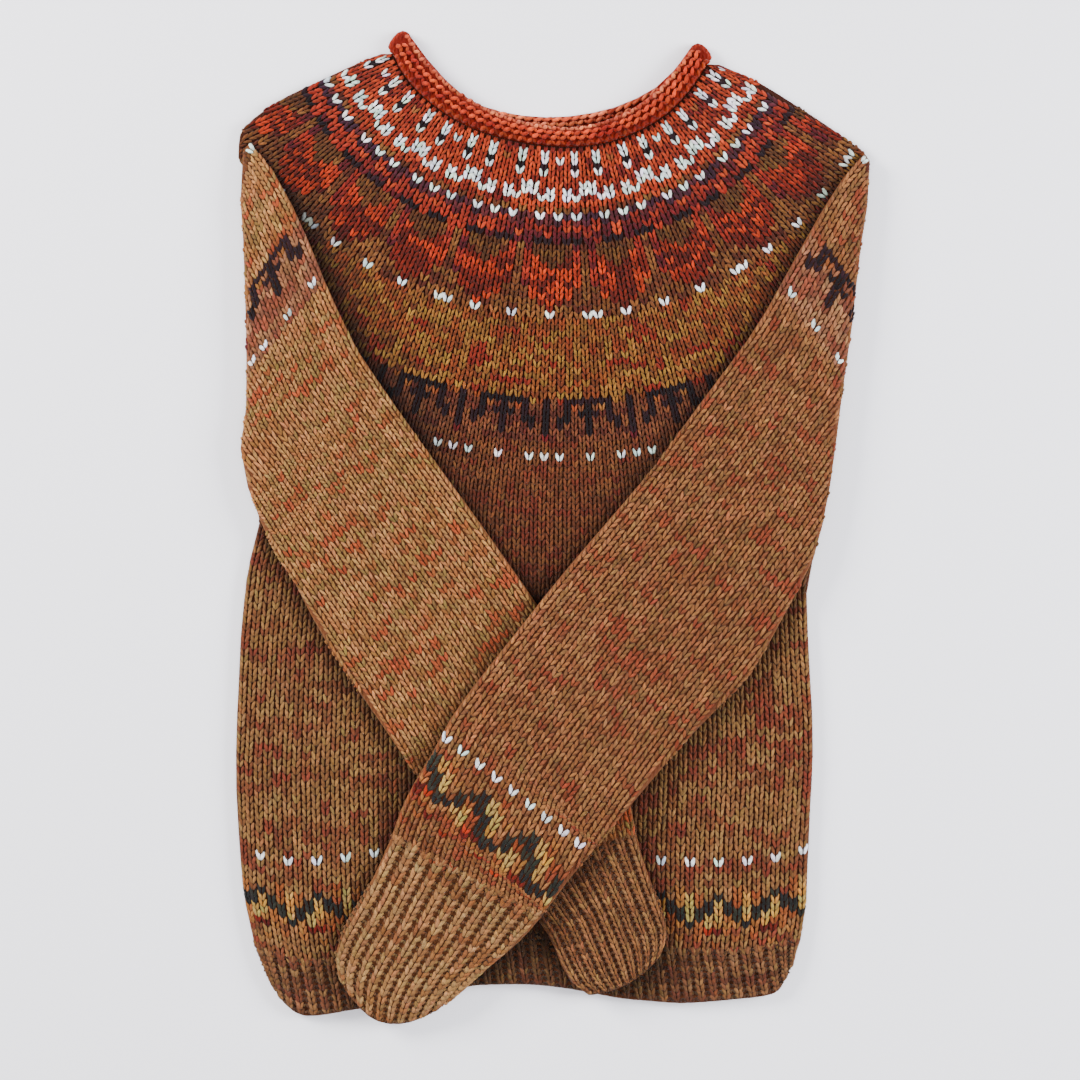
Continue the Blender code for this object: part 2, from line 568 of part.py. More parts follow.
class Tube:
    """A sleeve or cuff pressed flat: an outer skin, a slit inside and an open lower end."""

    def __init__(self, rows, ground, roof, columns, ribs=0, first_inner=0, capped=True, fold=False):
        self.rows = rows
        self.ground = ground
        self.roof = roof
        self.columns = columns
        self.ribs = ribs
        self.first_inner = first_inner
        self.capped = capped
        self.fold = fold
        self.verts = []
        self.faces = []

    def samples(self, width, r0, r1, reach):
        """Distances across the tube from its top edge."""
        near = [0.0, 0.13 * r0, 0.45 * r0, r0]
        far = [width - r1, width - 0.45 * r1, width - 0.13 * r1, width]
        step = width - min(r1 + 2.0 + reach, STEP_SHARE * width)
        mid = np.linspace(r0, step, self.columns)[1:]
        return np.array(near + list(mid) + far)

    def plan(self, row, s, width):
        """Plan points of a station, bowed towards the cuff's mouth."""
        t = s / width
        x = row[0] + t * (row[2] - row[0])
        y = row[1] + t * (row[3] - row[1])
        bow = row[5] * 4.0 * t * (1.0 - t)
        x = x + bow * self.lean(row)[0]
        y = y + bow * self.lean(row)[1]
        return x, y

    def lean(self, row):
        """Unit direction across the station, pointing down the sleeve."""
        dx = row[2] - row[0]
        dy = row[3] - row[1]
        size = math.hypot(dx, dy)
        side = 1.0 if dx < 0.0 else -1.0
        return side * -dy / size, side * dx / size

    def ring(self, row, pinch):
        """Outer and inner loops of one station."""
        width = math.hypot(row[2] - row[0], row[3] - row[1])
        edge = SLEEVE_EDGE
        reach = 4.0
        if self.fold:
            share = float(fold_drop(row[3]))
            edge += (FOLD_EDGE - SLEEVE_EDGE) * share
            reach += (FOLD_REACH - reach) * share
        r0 = min(SLEEVE_EDGE, ROUND_SHARE * width)
        r1 = min(edge, ROUND_SHARE * width)
        low_s = self.samples(width, r0, r1, reach)
        high_s = low_s
        if self.ribs:
            high_s = np.linspace(0.0, width, self.ribs * 4 + 1)
        high = self.heights(row, high_s, width, r0, r1, pinch)[1]
        if self.ribs:
            groove = 0.5 + 0.5 * np.cos(2 * math.pi * self.ribs * high_s / width)
            inner = quarter_round(high_s, r0) * quarter_round(width - high_s, r1)
            high = high - RIB_DEPTH * groove * inner
        low = self.heights(row, low_s, width, r0, r1, pinch)[0]
        hx, hy = self.plan(row, high_s, width)
        lx, ly = self.plan(row, low_s, width)
        outer = [(a, b, c) for a, b, c in zip(hx, hy, high)]
        outer += [(a, b, c) for a, b, c in zip(lx[-2:0:-1], ly[-2:0:-1], low[-2:0:-1])]
        at = list(0.5 * high_s / width) + list(1.0 - 0.5 * low_s[-2:0:-1] / width)
        i0 = r0 - 1.0
        i1 = width - r1 - 1.5
        in_s = np.concatenate([[i0, i0 + 2.0], np.linspace(i0 + 2.0, i1 - 2.0, 6)[1:-1], [i1 - 2.0, i1]])
        ix, iy = self.plan(row, in_s, width)
        bed = self.roof(ix, iy) + REST_GAP + WALL
        body = self.heights(row, in_s, width, r0, r1, 0.0)[1] - WALL
        body = np.maximum(body, bed + SLIT_GAP)
        body[0] = body[-1] = 0.0
        body[0] = bed[0] + 0.25
        body[-1] = bed[-1] + 0.25
        bed[0] = body[0]
        bed[-1] = body[-1]
        inner = [(a, b, c) for a, b, c in zip(ix, iy, body)]
        inner += [(a, b, c) for a, b, c in zip(ix[-2:0:-1], iy[-2:0:-1], bed[-2:0:-1])]
        in_at = list(0.5 * in_s / width) + list(1.0 - 0.5 * in_s[-2:0:-1] / width)
        return outer, at, inner, in_at

    def heights(self, row, s, width, r0, r1, pinch):
        """Under and upper heights across a station."""
        x, y = self.plan(row, s, width)
        low = self.ground(x, y) + REST_GAP
        t = s / width
        full = row[4] * (1.0 + SLEEVE_FULL / SLEEVE_HEIGHT * np.sin(math.pi * t) ** 0.7 * (row[4] > 5.0))
        high = self.roof(x, y) + REST_GAP + full
        share = np.minimum(quarter_round(s, r0), quarter_round(width - s, r1))
        middle = 0.5 * (low + high)
        half = 0.5 * (high - low) - pinch
        return middle - half * share, middle + half * share

    def loop_faces(self, a, b, n, flip=False):
        for i in range(n):
            j = (i + 1) % n
            quad = (a + i, a + j, b + j, b + i)
            self.faces.append(quad[::-1] if flip else quad)

    def stitch(self, a, at_a, b, at_b):
        """Triangles between two loops with different counts."""
        na = len(at_a)
        nb = len(at_b)
        i = 0
        j = 0
        while i < na or j < nb:
            next_a = at_a[i + 1] if i + 1 < na else 1.0 + at_a[0] if i < na else 9.0
            next_b = at_b[j + 1] if j + 1 < nb else 1.0 + at_b[0] if j < nb else 9.0
            if next_a <= next_b:
                self.faces.append((a + i % na, a + (i + 1) % na, b + j % nb))
                i += 1
            else:
                self.faces.append((a + i % na, b + (j + 1) % nb, b + j % nb))
                j += 1

    def cap(self, start, n):
        """Strip of faces closing a loop whose two halves match."""
        half = n // 2
        for i in range(half):
            a = start + i
            b = start + i + 1
            c = start + (n - i - 1) % n
            d = start + (n - i) % n
            quad = [a, b, c, d]
            keep = []
            for v in quad:
                if v not in keep:
                    keep.append(v)
            if len(keep) > 2:
                self.faces.append(tuple(keep))

    def build(self, name):
        outers = []
        inners = []
        last = len(self.rows) - 1
        for k, row in enumerate(self.rows):
            pinch = MOUTH_PINCH if k == last and not self.capped else 0.0
            outer, at, inner, in_at = self.ring(row, pinch)
            outers.append((len(self.verts), at))
            self.verts += outer
            if k >= self.first_inner:
                inners.append((len(self.verts), in_at))
                self.verts += inner
        n = len(outers[0][1])
        m = len(inners[0][1])
        for (a, _), (b, _) in zip(outers, outers[1:]):
            self.loop_faces(a, b, n)
        for (a, _), (b, _) in zip(inners, inners[1:]):
            self.loop_faces(a, b, m, flip=True)
        if self.capped:
            self.cap(outers[0][0], n)
            self.cap(inners[0][0], m)
        else:
            self.stitch(*outers[0], *inners[0])
        self.stitch(*outers[-1], *inners[-1])
        return make_object(name, self.verts, self.faces)


def stations(rows, count):
    """Smooth stations x, y, x, y, height, bow from a sleeve table."""
    curve = spline(rows, 6)
    middle = 0.5 * (curve[:, 0:2] + curve[:, 2:4])
    out = spread(np.hstack([middle, curve]), count)[:, 2:]
    if out.shape[1] == 5:
        out = np.hstack([out, np.zeros((len(out), 1))])
    return out


def cuff_stations(rows, count, sleeve_end):
    """Stations of a cuff, one gap past its sleeve."""
    curve = stations(rows, count)
    out = np.hstack([curve[:, :4], np.full((len(curve), 1), SLEEVE_HEIGHT), curve[:, 4:5]])
    along = 0.5 * (out[1, :4] - out[0, :4])
    size = math.hypot(along[0] + along[2], along[1] + along[3])
    shift = np.array([along[0] + along[2], along[1] + along[3]]) / size * SEAM_GAP
    out[0, :4] = sleeve_end[:4] + np.tile(shift, 2)
    return out


def main():
    for obj in list(bpy.data.objects):
        bpy.data.objects.remove(obj, do_unlink=True)

    front = neck_rows(NECK_FRONT, 25)
    back = neck_rows([row + (0.0,) for row in NECK_BACK], 15)
    yoke("yoke_front", front, True, 9, FRONT_YOKE_ROWS)
    yoke("yoke_back", back[::-1], False, 6, BACK_YOKE_ROWS)
    body("body_front", True, FRONT_BODY_ROWS)
    body("body_back", False, BACK_BODY_ROWS)
    hem_rib("hem_rib_front", True, 3, 5)
    hem_rib("hem_rib_back", False, 3, 5)
    neckband(front, back)

    left = stations(LEFT_SLEEVE, 21)
    left_cuff = cuff_stations(LEFT_CUFF, 8, left[-1])
    Tube(left, terrain, plain_terrain, 8, first_inner=3, fold=True).build("left_sleeve")
    Tube(left_cuff, terrain, plain_terrain, 7, ribs=LEFT_CUFF_RIBS, capped=False).build("left_cuff")

    under = np.vstack([left[:, :2], left_cuff[:, :2], left_cuff[::-1, 2:4], left[::-1, 2:4]])
    step = SLEEVE_HEIGHT + SLEEVE_FULL + REST_GAP

    def ramp(x, y):
        away = distance(x, y, np.vstack([under, under[:1]])) * ~inside(x, y, under)
        return step * (1.0 - smooth((away - OVERLAP_LEDGE) / OVERLAP_RUN))

    def over_ground(x, y):
        return terrain(x, y) + ramp(x, y)

    def over_roof(x, y):
        return plain_terrain(x, y) + ramp(x, y)

    right = stations(RIGHT_SLEEVE, 23)
    right_cuff = cuff_stations(RIGHT_CUFF, 8, right[-1])
    Tube(right, over_ground, over_roof, 8, first_inner=3, fold=True).build("right_sleeve")
    Tube(right_cuff, over_ground, over_roof, 7, ribs=RIGHT_CUFF_RIBS, capped=False).build("right_cuff")


main()
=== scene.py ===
"""Fair isle sweater laid flat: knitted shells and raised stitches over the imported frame."""
import logging
import math
from dataclasses import dataclass, replace
from enum import Enum

import bmesh
import bpy
import numpy as np
from mathutils import Matrix, Vector
from mathutils.bvhtree import BVHTree


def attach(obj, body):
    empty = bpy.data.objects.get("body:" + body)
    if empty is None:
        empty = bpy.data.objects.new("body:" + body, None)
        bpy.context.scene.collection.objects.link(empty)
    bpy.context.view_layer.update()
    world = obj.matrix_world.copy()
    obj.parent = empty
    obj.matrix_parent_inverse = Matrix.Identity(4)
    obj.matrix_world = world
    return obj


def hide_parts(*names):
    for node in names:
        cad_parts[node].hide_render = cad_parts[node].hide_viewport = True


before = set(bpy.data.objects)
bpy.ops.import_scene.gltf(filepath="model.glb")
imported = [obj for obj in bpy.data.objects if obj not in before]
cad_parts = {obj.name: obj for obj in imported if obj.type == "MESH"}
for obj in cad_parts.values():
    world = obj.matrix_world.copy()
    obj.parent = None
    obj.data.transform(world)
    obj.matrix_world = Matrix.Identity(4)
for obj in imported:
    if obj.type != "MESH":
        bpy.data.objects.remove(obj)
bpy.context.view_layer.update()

LOG = logging.getLogger("sweater")

PHOTO_CENTRE = (-0.00875, -0.0098)  # middle of the photograph, in metres from the origin
PHOTO_WIDTH = 0.756  # metres across the photograph
WALE = 0.00535  # width of a stitch in the weave of a wall
COURSE = 0.00431  # height of a stitch
SINK = 0.0009  # how far a wall lies below its solid, to make room for the stitches
HIDE_REACH = 0.012  # strip of stitches that is kept under the edge of a part on top
GROOVE = 0.0012  # reach over which a stitch passes the groove between two nodes
NECK_CENTRE = (0.0, 0.385)  # middle of the yoke's rings
RING_SPAN = 0.45  # distance from there at which the last ring ends
LEG_LIMIT = 185000  # most triangles in one piece
PAINTED_CREASE_STRENGTH = 1.1  # strength of the painted shade that darkens the yarn's colour beside a part on top
# reaches, with weights, of the painted shade beside a part on top
CREASE_REACHES = ((0.007, 0.32), (0.015, 0.36), (0.027, 0.36))
YOKE_REACHES = ((0.006, 0.42), (0.013, 0.45), (0.023, 0.42), (0.033, 0.45))
HEM_REACHES = ((0.006, 0.30), (0.013, 0.35), (0.023, 0.35), (0.040, 0.40))
FAR_REACH = 0.03  # from here on the painted shade lies only away from the key light
PAINTED_SHADE_FLOOR = 0.2  # least share of its colour that a stitch keeps under the painted crease shade
PALE = 0.4  # mean linear colour above which a stitch counts as white
PALE_WIDTH = 1.22  # how much wider a white stitch looks
EDGE_MARGIN = 0.014  # how far the front's stitches run in under a sleeve's inner edge
TRIANGLE_FOOT = -0.07  # y below which the body's own rows fill the front between the sleeves
BACK_BAND_TOP = 0.006  # the back band's stitches lie lower than this
BUMP_WIDTH = 0.0067  # width of a purl bump on the neckband
SHOULDER_ROW = 50  # row of the yoke's chart at row 0 of a sleeve
BORDER_REACH = 30  # rows above a cuff that follow the border's chart
SHAKE = 0.035  # how far the ends of a leg stray, as a share of the stitch
STEP_LIMIT = 0.003  # most that the end of a leg lies above or below its stitch
RETREAT = (0.7, 0.4, 0.1)  # shares of its reach to which an end past the edge draws back
PLUMPNESS = (0.88, 1.12)  # least and most width of a leg, as a factor
TINT_SPREAD = (0.13, 0.06)  # spread of brightness and of hue from leg to leg
EDGE_LIMIT = 0.011  # longest edge of a wall's mesh
SINK_TILT = 0.25  # upward part of the normal from which a wall is lowered
TOP_TILT = 0.5  # upward part of the normal from which a wall counts as under stitches
TOP_BLEND = 0.3  # span of the normal over which it passes into that
MERGE_GAP = 0.00001  # distance within which a wall's points are merged
MIX_FIRST = 6  # the colour sockets of a mix node
MIX_SECOND = 7
MIX_RESULT = 2
SEED = 1127

NECK_SEAM = (  # x, y in mm along the front neck seam, left to right
    (-111.5, 331.0), (-107.5, 321.5), (-101.0, 312.0), (-93.0, 303.0), (-81.5, 293.5),
    (-67.5, 284.0), (-49.5, 276.0), (-28.5, 270.0), (-6.5, 266.5), (15.0, 265.5), (36.0, 268.0),
    (55.5, 274.5), (72.0, 283.0), (84.5, 292.5), (95.0, 304.0), (102.5, 314.5), (108.0, 323.5),
)
NECK_EDGE = (  # x, y in mm along the roll's free edge at the front, left to right
    (-100.5, 345.0), (-90.0, 328.5), (-69.5, 307.5), (-41.5, 290.5), (-24.0, 284.0),
    (-5.0, 280.0), (13.5, 278.5), (32.0, 282.0), (49.5, 288.5), (63.5, 297.0), (74.5, 306.5),
    (90.0, 325.5), (97.5, 336.0),
)
BACK_SEAM = (  # x, y in mm along the back neck seam, left to right
    (-111.5, 331.0), (-84.5, 304.0), (-67.5, 292.5), (-51.0, 284.0), (-32.5, 279.5),
    (-11.5, 276.5), (9.5, 276.5), (30.5, 279.5), (50.0, 283.5), (68.0, 290.5), (86.0, 299.5),
    (108.0, 323.5),
)
BACK_EDGE = (  # x, y in mm along the free edge of the back band, left to right
    (-100.5, 345.0), (-74.5, 313.0), (-60.0, 300.5), (-46.0, 294.0), (-30.5, 290.0),
    (-11.5, 287.5), (7.5, 287.5), (26.0, 290.0), (43.0, 294.0), (60.0, 301.0), (75.0, 310.0),
    (97.5, 336.0),
)
LEFT_TOP_EDGE = (  # x, y in mm down the inner edge of the left sleeve
    (-215.0, 272.0), (-202.0, 259.0), (-190.0, 239.5), (-174.5, 208.5), (-156.0, 164.0),
    (-135.0, 120.5), (-113.5, 89.5), (-70.5, 29.5), (-26.0, -33.0), (13.5, -94.0),
    (29.5, -125.5), (43.0, -158.0), (53.0, -188.5), (58.5, -215.0),
)
RIGHT_TOP_EDGE = (  # x, y in mm down the inner edge of the right sleeve
    (218.0, 261.0), (209.5, 251.5), (197.0, 234.5), (164.0, 177.0), (143.0, 140.0),
    (97.0, 77.5), (46.5, 12.5), (-3.0, -45.5), (-48.5, -103.0), (-69.5, -131.5),
    (-87.0, -164.0), (-100.0, -185.0), (-107.5, -202.5), (-113.0, -218.5),
)
LEFT_ROWS = (  # row number, mm along the inner edge, slant of the row in degrees
    (-40, -72.0, 30.0), (0, 108.0, 30.0), (32, 245.0, 0.0), (100, 562.0, 0.0),
)
RIGHT_ROWS = (  # row number, mm along the inner edge, slant of the row in degrees
    (-40, -79.0, 25.0), (0, 105.0, 25.0), (28, 234.0, 0.0), (86, 500.0, 10.0), (95, 541.0, 13.5),
    (105, 588.0, 13.5),
)
LEFT_CUFF = (  # top edge x, y, outer edge x, y in mm, bow towards the mouth
    (58.5, -215.0, -28.5, -256.0, 0.0), (69.0, -249.0, -4.5, -283.0, 2.0),
    (79.5, -277.0, 7.5, -309.5, 4.0), (79.5, -288.5, 14.5, -320.0, 5.0),
    (74.5, -300.5, 25.0, -327.5, 6.0),
)
RIGHT_CUFF = (  # top edge x, y, outer edge x, y in mm, bow towards the mouth
    (-113.0, -218.5, -8.0, -271.5, 0.0), (-129.0, -252.5, -27.5, -294.0, 6.0),
    (-146.5, -283.0, -48.0, -311.0, 15.5), (-151.5, -298.0, -59.0, -320.5, 21.0),
    (-149.0, -315.0, -70.5, -329.5, 26.0),
)
LEFT_SIDE = (  # x, y in mm down the left side below the armhole
    (-214.5, 88.0), (-219.0, 56.0), (-212.5, 29.5), (-205.5, 1.5), (-214.0, -32.0),
    (-219.0, -82.5), (-222.0, -166.5), (-217.5, -250.5), (-209.0, -292.5),
)
RIGHT_SIDE = (  # x, y in mm down the right side below the armhole
    (205.5, 113.5), (198.0, 57.5), (185.0, -17.0), (177.5, -40.5), (179.5, -87.0),
    (182.5, -138.5), (182.5, -166.5), (179.0, -222.5), (178.0, -264.5), (174.0, -290.0),
)
RIB_TOP = (  # x, y in mm where the hem ribbing begins, left to right
    (-209.0, -292.5), (-200.5, -300.5), (-173.0, -308.0), (-152.0, -306.5), (-123.0, -301.5),
    (-86.0, -295.5), (-37.0, -288.5), (5.0, -288.5), (47.0, -295.5), (89.0, -299.5),
    (123.0, -300.5), (152.0, -297.0), (174.0, -290.0),
)
HEM = (  # x, y in mm along the bottom edge, left to right
    (-197.0, -320.5), (-188.5, -334.0), (-177.0, -342.5), (-163.0, -343.0), (-124.0, -336.5),
    (-79.0, -327.0), (-57.5, -322.5), (-15.5, -321.5), (26.0, -327.0), (89.0, -334.5),
    (131.0, -331.5), (156.5, -327.0), (163.5, -318.5), (168.5, -306.5),
)


class Side(Enum):
    """Side of the photograph that a sleeve starts from."""

    LEFT = "left"
    RIGHT = "right"

    @property
    def sign(self) -> float:
        """1 where the cloth lies to the left of the inner edge going down, otherwise -1."""
        return 1.0 if self is Side.RIGHT else -1.0


class Kind(Enum):
    """How a stitch is drawn."""

    KNIT = "knit"
    RIB = "rib"
    PURL = "purl"
    ROLL = "roll"


def linear(rgb: tuple) -> np.ndarray:
    """Turns a display colour into a linear one.

    Args:
        rgb: Red, green and blue from 0 to 255.

    Returns:
        Three linear values from 0 to 1.
    """
    share = np.asarray(rgb, float) / 255.0
    return np.where(share <= 0.04045, share / 12.92, ((share + 0.055) / 1.055) ** 2.4)


def ease(share: np.ndarray) -> np.ndarray:
    """Smooth step between 0 and 1.

    Args:
        share: Any values; they are clipped first.

    Returns:
        The eased values.
    """
    t = np.clip(share, 0.0, 1.0)
    return t * t * (3.0 - 2.0 * t)


def arc_lengths(line: np.ndarray) -> np.ndarray:
    """Length of a line up to each of its points.

    Args:
        line: Plan points, one a row.

    Returns:
        The lengths, from 0.
    """
    return np.concatenate([[0.0], np.cumsum(np.hypot(*np.diff(line, axis=0).T))])


def numbered(rows: np.ndarray, columns: np.ndarray) -> tuple:
    """Row and column number of every stitch of a grid.

    Args:
        rows: Row numbers.
        columns: Column numbers.

    Returns:
        Two arrays, one value for each stitch.
    """
    row, column = np.meshgrid(rows, columns, indexing="ij")
    return row.ravel(), column.ravel()


def blotches(u: np.ndarray, v: np.ndarray, seed: int) -> np.ndarray:
    """Seeded value noise on a unit lattice.

    Args:
        u: First coordinate, in lattice cells.
        v: Second coordinate, in lattice cells.
        seed: Number that fixes the noise.

    Returns:
        Values from 0 to 1, one for each point.
    """
    wide, high = 97, 89
    table = np.random.default_rng(seed).random((wide, high))
    i = np.floor(u).astype(int)
    j = np.floor(v).astype(int)
    s = ease(u - i)
    t = ease(v - j)

    sides = []
    for up in (0, 1):
        near = table[i % wide, (j + up) % high]
        far = table[(i + 1) % wide, (j + up) % high]
        sides.append(near * (1 - s) + far * s)
    return sides[0] * (1 - t) + sides[1] * t


@dataclass(frozen=True)
class Yarn:
    """A heathered yarn: the shades that it drifts through.

    Args:
        shades: Display colours, neighbours in the drift.
        reach: How many stitches one shade lasts along a row.
    """

    shades: tuple
    reach: float = 7.0

    def spin(self, row: np.ndarray, column: np.ndarray, seed: int) -> np.ndarray:
        """Colours stitches as this yarn would.

        Args:
            row: Row number of each stitch.
            column: Column number of each stitch.
            seed: Number that fixes the drift.

        Returns:
            Linear colours, one row for each stitch.
        """
        table = np.array([linear(c) for c in self.shades])
        drift = blotches(column / self.reach + 3.7, row / 1.6 + 11.3, seed)
        fleck = np.random.default_rng(seed + len(row)).random(len(row))
        at = np.clip(0.62 * drift + 0.52 * fleck - 0.07, 0.0, 0.999) * len(table)
        first = np.minimum(at.astype(int), len(table) - 1)
        second = np.minimum(first + 1, len(table) - 1)
        mix = (at - first)[:, None]
        return table[first] * (1 - mix) + table[second] * mix


YARNS = {
    "q": Yarn(((182, 54, 17), (164, 38, 12), (194, 66, 22), (142, 26, 11)), 2.0),
    # v is a lighter copy of q: a painted highlight on the roll's top row and on the back band
    "v": Yarn(((196, 92, 52), (176, 66, 34), (206, 108, 68), (146, 50, 28)), 2.0),
    "o": Yarn(((147, 45, 15), (97, 24, 12), (155, 52, 19), (85, 19, 14))),
    "t": Yarn(((97, 55, 24), (72, 35, 16), (109, 67, 30), (64, 24, 14), (83, 46, 19)), 4.0),
    "w": Yarn(((192, 204, 199), (171, 190, 183), (208, 206, 210))),
    "d": Yarn(((18, 8, 12), (14, 8, 12), (28, 11, 17))),
    "p": Yarn(((54, 21, 33), (38, 18, 30), (74, 26, 28))),
    "r": Yarn(((126, 30, 8), (156, 43, 8), (62, 14, 8), (92, 21, 8)), 9.0),
    "m": Yarn(((98, 19, 14), (132, 35, 14), (64, 13, 19))),
    "g": Yarn(((108, 63, 22), (112, 49, 19), (80, 37, 16), (122, 85, 32), (98, 26, 13)), 3.0),
    "n": Yarn(((88, 56, 22), (66, 35, 15))),
    "u": Yarn(((82, 38, 23), (62, 24, 17), (92, 50, 28))),
    "j": Yarn(((118, 76, 48), (104, 62, 39), (130, 88, 58), (92, 50, 34), (112, 56, 36)), 3.0),
    "k": Yarn(((26, 26, 22), (33, 33, 26), (22, 22, 22))),
    "y": Yarn(((158, 117, 50), (146, 98, 40), (136, 114, 60))),
    "e": Yarn(((118, 62, 27), (106, 46, 21), (122, 76, 35))),
    # f is for the triangle between the sleeves: redder than b, and darker partly as painted shade
    "f": Yarn(((83, 44, 22), (72, 35, 17), (91, 52, 26), (79, 30, 17)), 3.0),
    "b": Yarn(((109, 73, 41), (99, 64, 33), (116, 83, 46), (91, 55, 29), (94, 41, 25)), 3.0),
    "l": Yarn(((136, 91, 50), (126, 78, 39), (145, 99, 57), (106, 80, 39), (128, 56, 27)), 3.0),
    "s": Yarn(((112, 68, 39), (102, 59, 31), (121, 78, 44), (93, 61, 32), (107, 47, 26)), 3.0),
    "c": Yarn(((127, 91, 54), (117, 79, 45), (134, 99, 60), (110, 68, 36)), 4.0),
    "a": Yarn(((110, 72, 41), (98, 61, 34), (117, 79, 45), (89, 53, 28)), 4.0),
    "h": Yarn(((98, 64, 38), (87, 53, 30), (105, 72, 42), (80, 43, 26)), 4.0),
}

YOKE_CHART = (  # first row, then one repeat of the pattern, from the centre of the front
    (-1, "ooooooo"),
    (1, "oowoowo"),
    (2, "wowoowoeowoowo"),
    (3, "oodoodo"),
    (4, "oowoowo"),
    (5, "ooooooo"),
    (6, "ooowwoo"),
    (7, "owowwow"),
    (8, "owwooww"),
    (9, "ooooooo"),
    (10, "ttototo"),
    (11, "wpwppwp"),
    (12, "pmppmpp"),
    (13, "mommomo"),
    (14, "mmmommo"),
    (15, "mddmmdd"),
    (16, "nntmtmnn"),
    (18, "nnrmtmrn"),
    (19, "nrrrtmrr"),
    (20, "rrrrtmrr"),
    (23, "rrrtttrr"),
    (25, "rrtttttr"),
    (26, "rttttttt"),
    (27, "wtttwwttwtttwttt"),
    (28, "gggggggg"),
    (41, "ugdddddddggd"),
    (42, "uudeudueduud"),
    (43, "uududdduduud"),
    (44, "udduuduuddud"),
    (45, "uduuuduuudud"),
    (46, "uuuuuduuuuud"),
    (47, "uuuuuuuuuuum"),
    (48, "fffffuffffff"),
    (50, "fwfffwfffwfw"),
    (51, "ffffffffffff"),
)

SHOULDER_CHART = tuple(  # the yoke's rows on the sleeves: f, darker on the yoke partly as painted shade, and u become the lighter j, g the plain yarn
    (first, repeat.translate(str.maketrans("guf", ".jj"))) for first, repeat in YOKE_CHART
)

BODY_BORDER = (  # rows counted down to the ribbing; a dot stands for the plain yarn
    (-17, "w..w.."),
    (-16, "......"),
    (-13, "..e..."),
    (-12, "k.eye."),
    (-11, "ykeyek"),
    (-10, "ykkykk"),
    (-9, "yekyky"),
    (-8, "eeekey"),
    (-7, "re..er"),
    (-6, "..e.e."),
    (-5, "e....."),
    (-4, "......"),
)
BORDER_DROP = (1, 3)  # rows by which the border sits lower at the left and at the right

SLEEVE_BORDER = (  # rows counted down to the ribbing; a dot stands for the plain yarn
    (-19, "w."),
    (-18, "......"),
    (-17, "..e..."),
    (-16, "kye..."),
    (-15, "kyye.k"),
    (-14, "kky.ke"),
    (-13, "eky.ky"),
    (-12, "ekkkyy"),
    (-11, "rrk.ey"),
    (-10, "re..ee"),
    (-9, ".ee..e"),
    (-8, "e.r.e."),
    (-7, ".e..r."),
    (-6, "......"),
)


def chart_colours(
    chart: tuple, row: np.ndarray, column: np.ndarray, plain: str, seed: int
) -> np.ndarray:
    """Reads a chart and spins the yarn of every stitch.

    Args:
        chart: Rows of first row number and repeat.
        row: Chart row of each stitch.
        column: Column of each stitch.
        plain: Yarn of the rows outside the chart.
        seed: Number that fixes the heather.

    Returns:
        Linear colours, one row for each stitch.
    """
    codes = np.full(len(row), plain)
    firsts = [first for first, _ in chart]
    for at, (first, repeat) in enumerate(chart):
        last = firsts[at + 1] if at + 1 < len(chart) else first + 1
        letters = np.array(list(repeat.replace(".", plain)))
        here = (row >= first) & (row < last)
        codes[here] = letters[column[here].astype(int) % len(letters)]
    colours = np.zeros((len(row), 3))
    for code in np.unique(codes):
        here = codes == code
        colours[here] = YARNS[str(code)].spin(row[here], column[here], seed)
    return colours


@dataclass
class Trace:
    """A smoothed line in the plan, measured by its arc length.

    Args:
        points: Plan points a millimetre apart, in metres.
    """

    points: np.ndarray

    @classmethod
    def through(cls, rows: tuple, soften: int = 9) -> "Trace":
        """Draws the line through measured points.

        Args:
            rows: Points in mm.
            soften: Length in mm over which corners are rounded.

        Returns:
            The trace.
        """
        corners = np.array([r[:2] for r in rows], float) / 1000.0
        arc = arc_lengths(corners)
        at = np.linspace(0.0, arc[-1], max(8, int(arc[-1] * 1000)))
        line = np.column_stack([np.interp(at, arc, corners[:, k]) for k in range(2)])
        pad = np.concatenate(
            [2 * line[0] - line[soften:0:-1], line, 2 * line[-1] - line[-2:-soften - 2:-1]]
        )
        window = np.hanning(2 * soften + 3)[1:-1]
        window /= window.sum()
        return cls(np.column_stack([np.convolve(pad[:, k], window, "valid") for k in range(2)]))

    @property
    def arc(self) -> np.ndarray:
        """Arc length at each point."""
        return arc_lengths(self.points)

    def at(self, arc: np.ndarray) -> tuple:
        """Points and directions along the line, carried straight on past its ends.

        Args:
            arc: Arc lengths in metres.

        Returns:
            Points, and unit tangents.
        """
        own = self.arc
        tangent = np.gradient(self.points, own, axis=0)
        tangent /= np.linalg.norm(tangent, axis=1)[:, None]
        t = np.column_stack([np.interp(arc.ravel(), own, tangent[:, k]) for k in range(2)])
        p = np.column_stack([np.interp(arc.ravel(), own, self.points[:, k]) for k in range(2)])
        over = arc.ravel() - np.clip(arc.ravel(), 0.0, own[-1])
        p = p + t * over[:, None]
        shape = arc.shape + (2,)
        return p.reshape(shape), t.reshape(shape)

    def offset(self, points: np.ndarray) -> np.ndarray:
        """Signed distance of points from the line, positive on its left.

        Args:
            points: Plan points, one a row.

        Returns:
            Distances in metres.
        """
        line = self.points[::4]
        step = np.diff(line, axis=0)
        best = np.full(len(points), 9.0)
        side = np.zeros(len(points))
        for a, d in zip(line[:-1], step):
            rel = points - a
            t = np.clip(rel @ d / (d @ d), 0.0, 1.0)
            gap = np.hypot(*(rel - t[:, None] * d).T)
            nearer = gap < best
            best[nearer] = gap[nearer]
            side[nearer] = (d[0] * rel[:, 1] - d[1] * rel[:, 0])[nearer]
        return np.where(side >= 0.0, best, -best)

    def share(self, share: np.ndarray) -> np.ndarray:
        """Points at shares of the whole length.

        Args:
            share: Values from 0 to 1.

        Returns:
            Plan points.
        """
        return self.at(np.asarray(share, float) * self.arc[-1])[0]


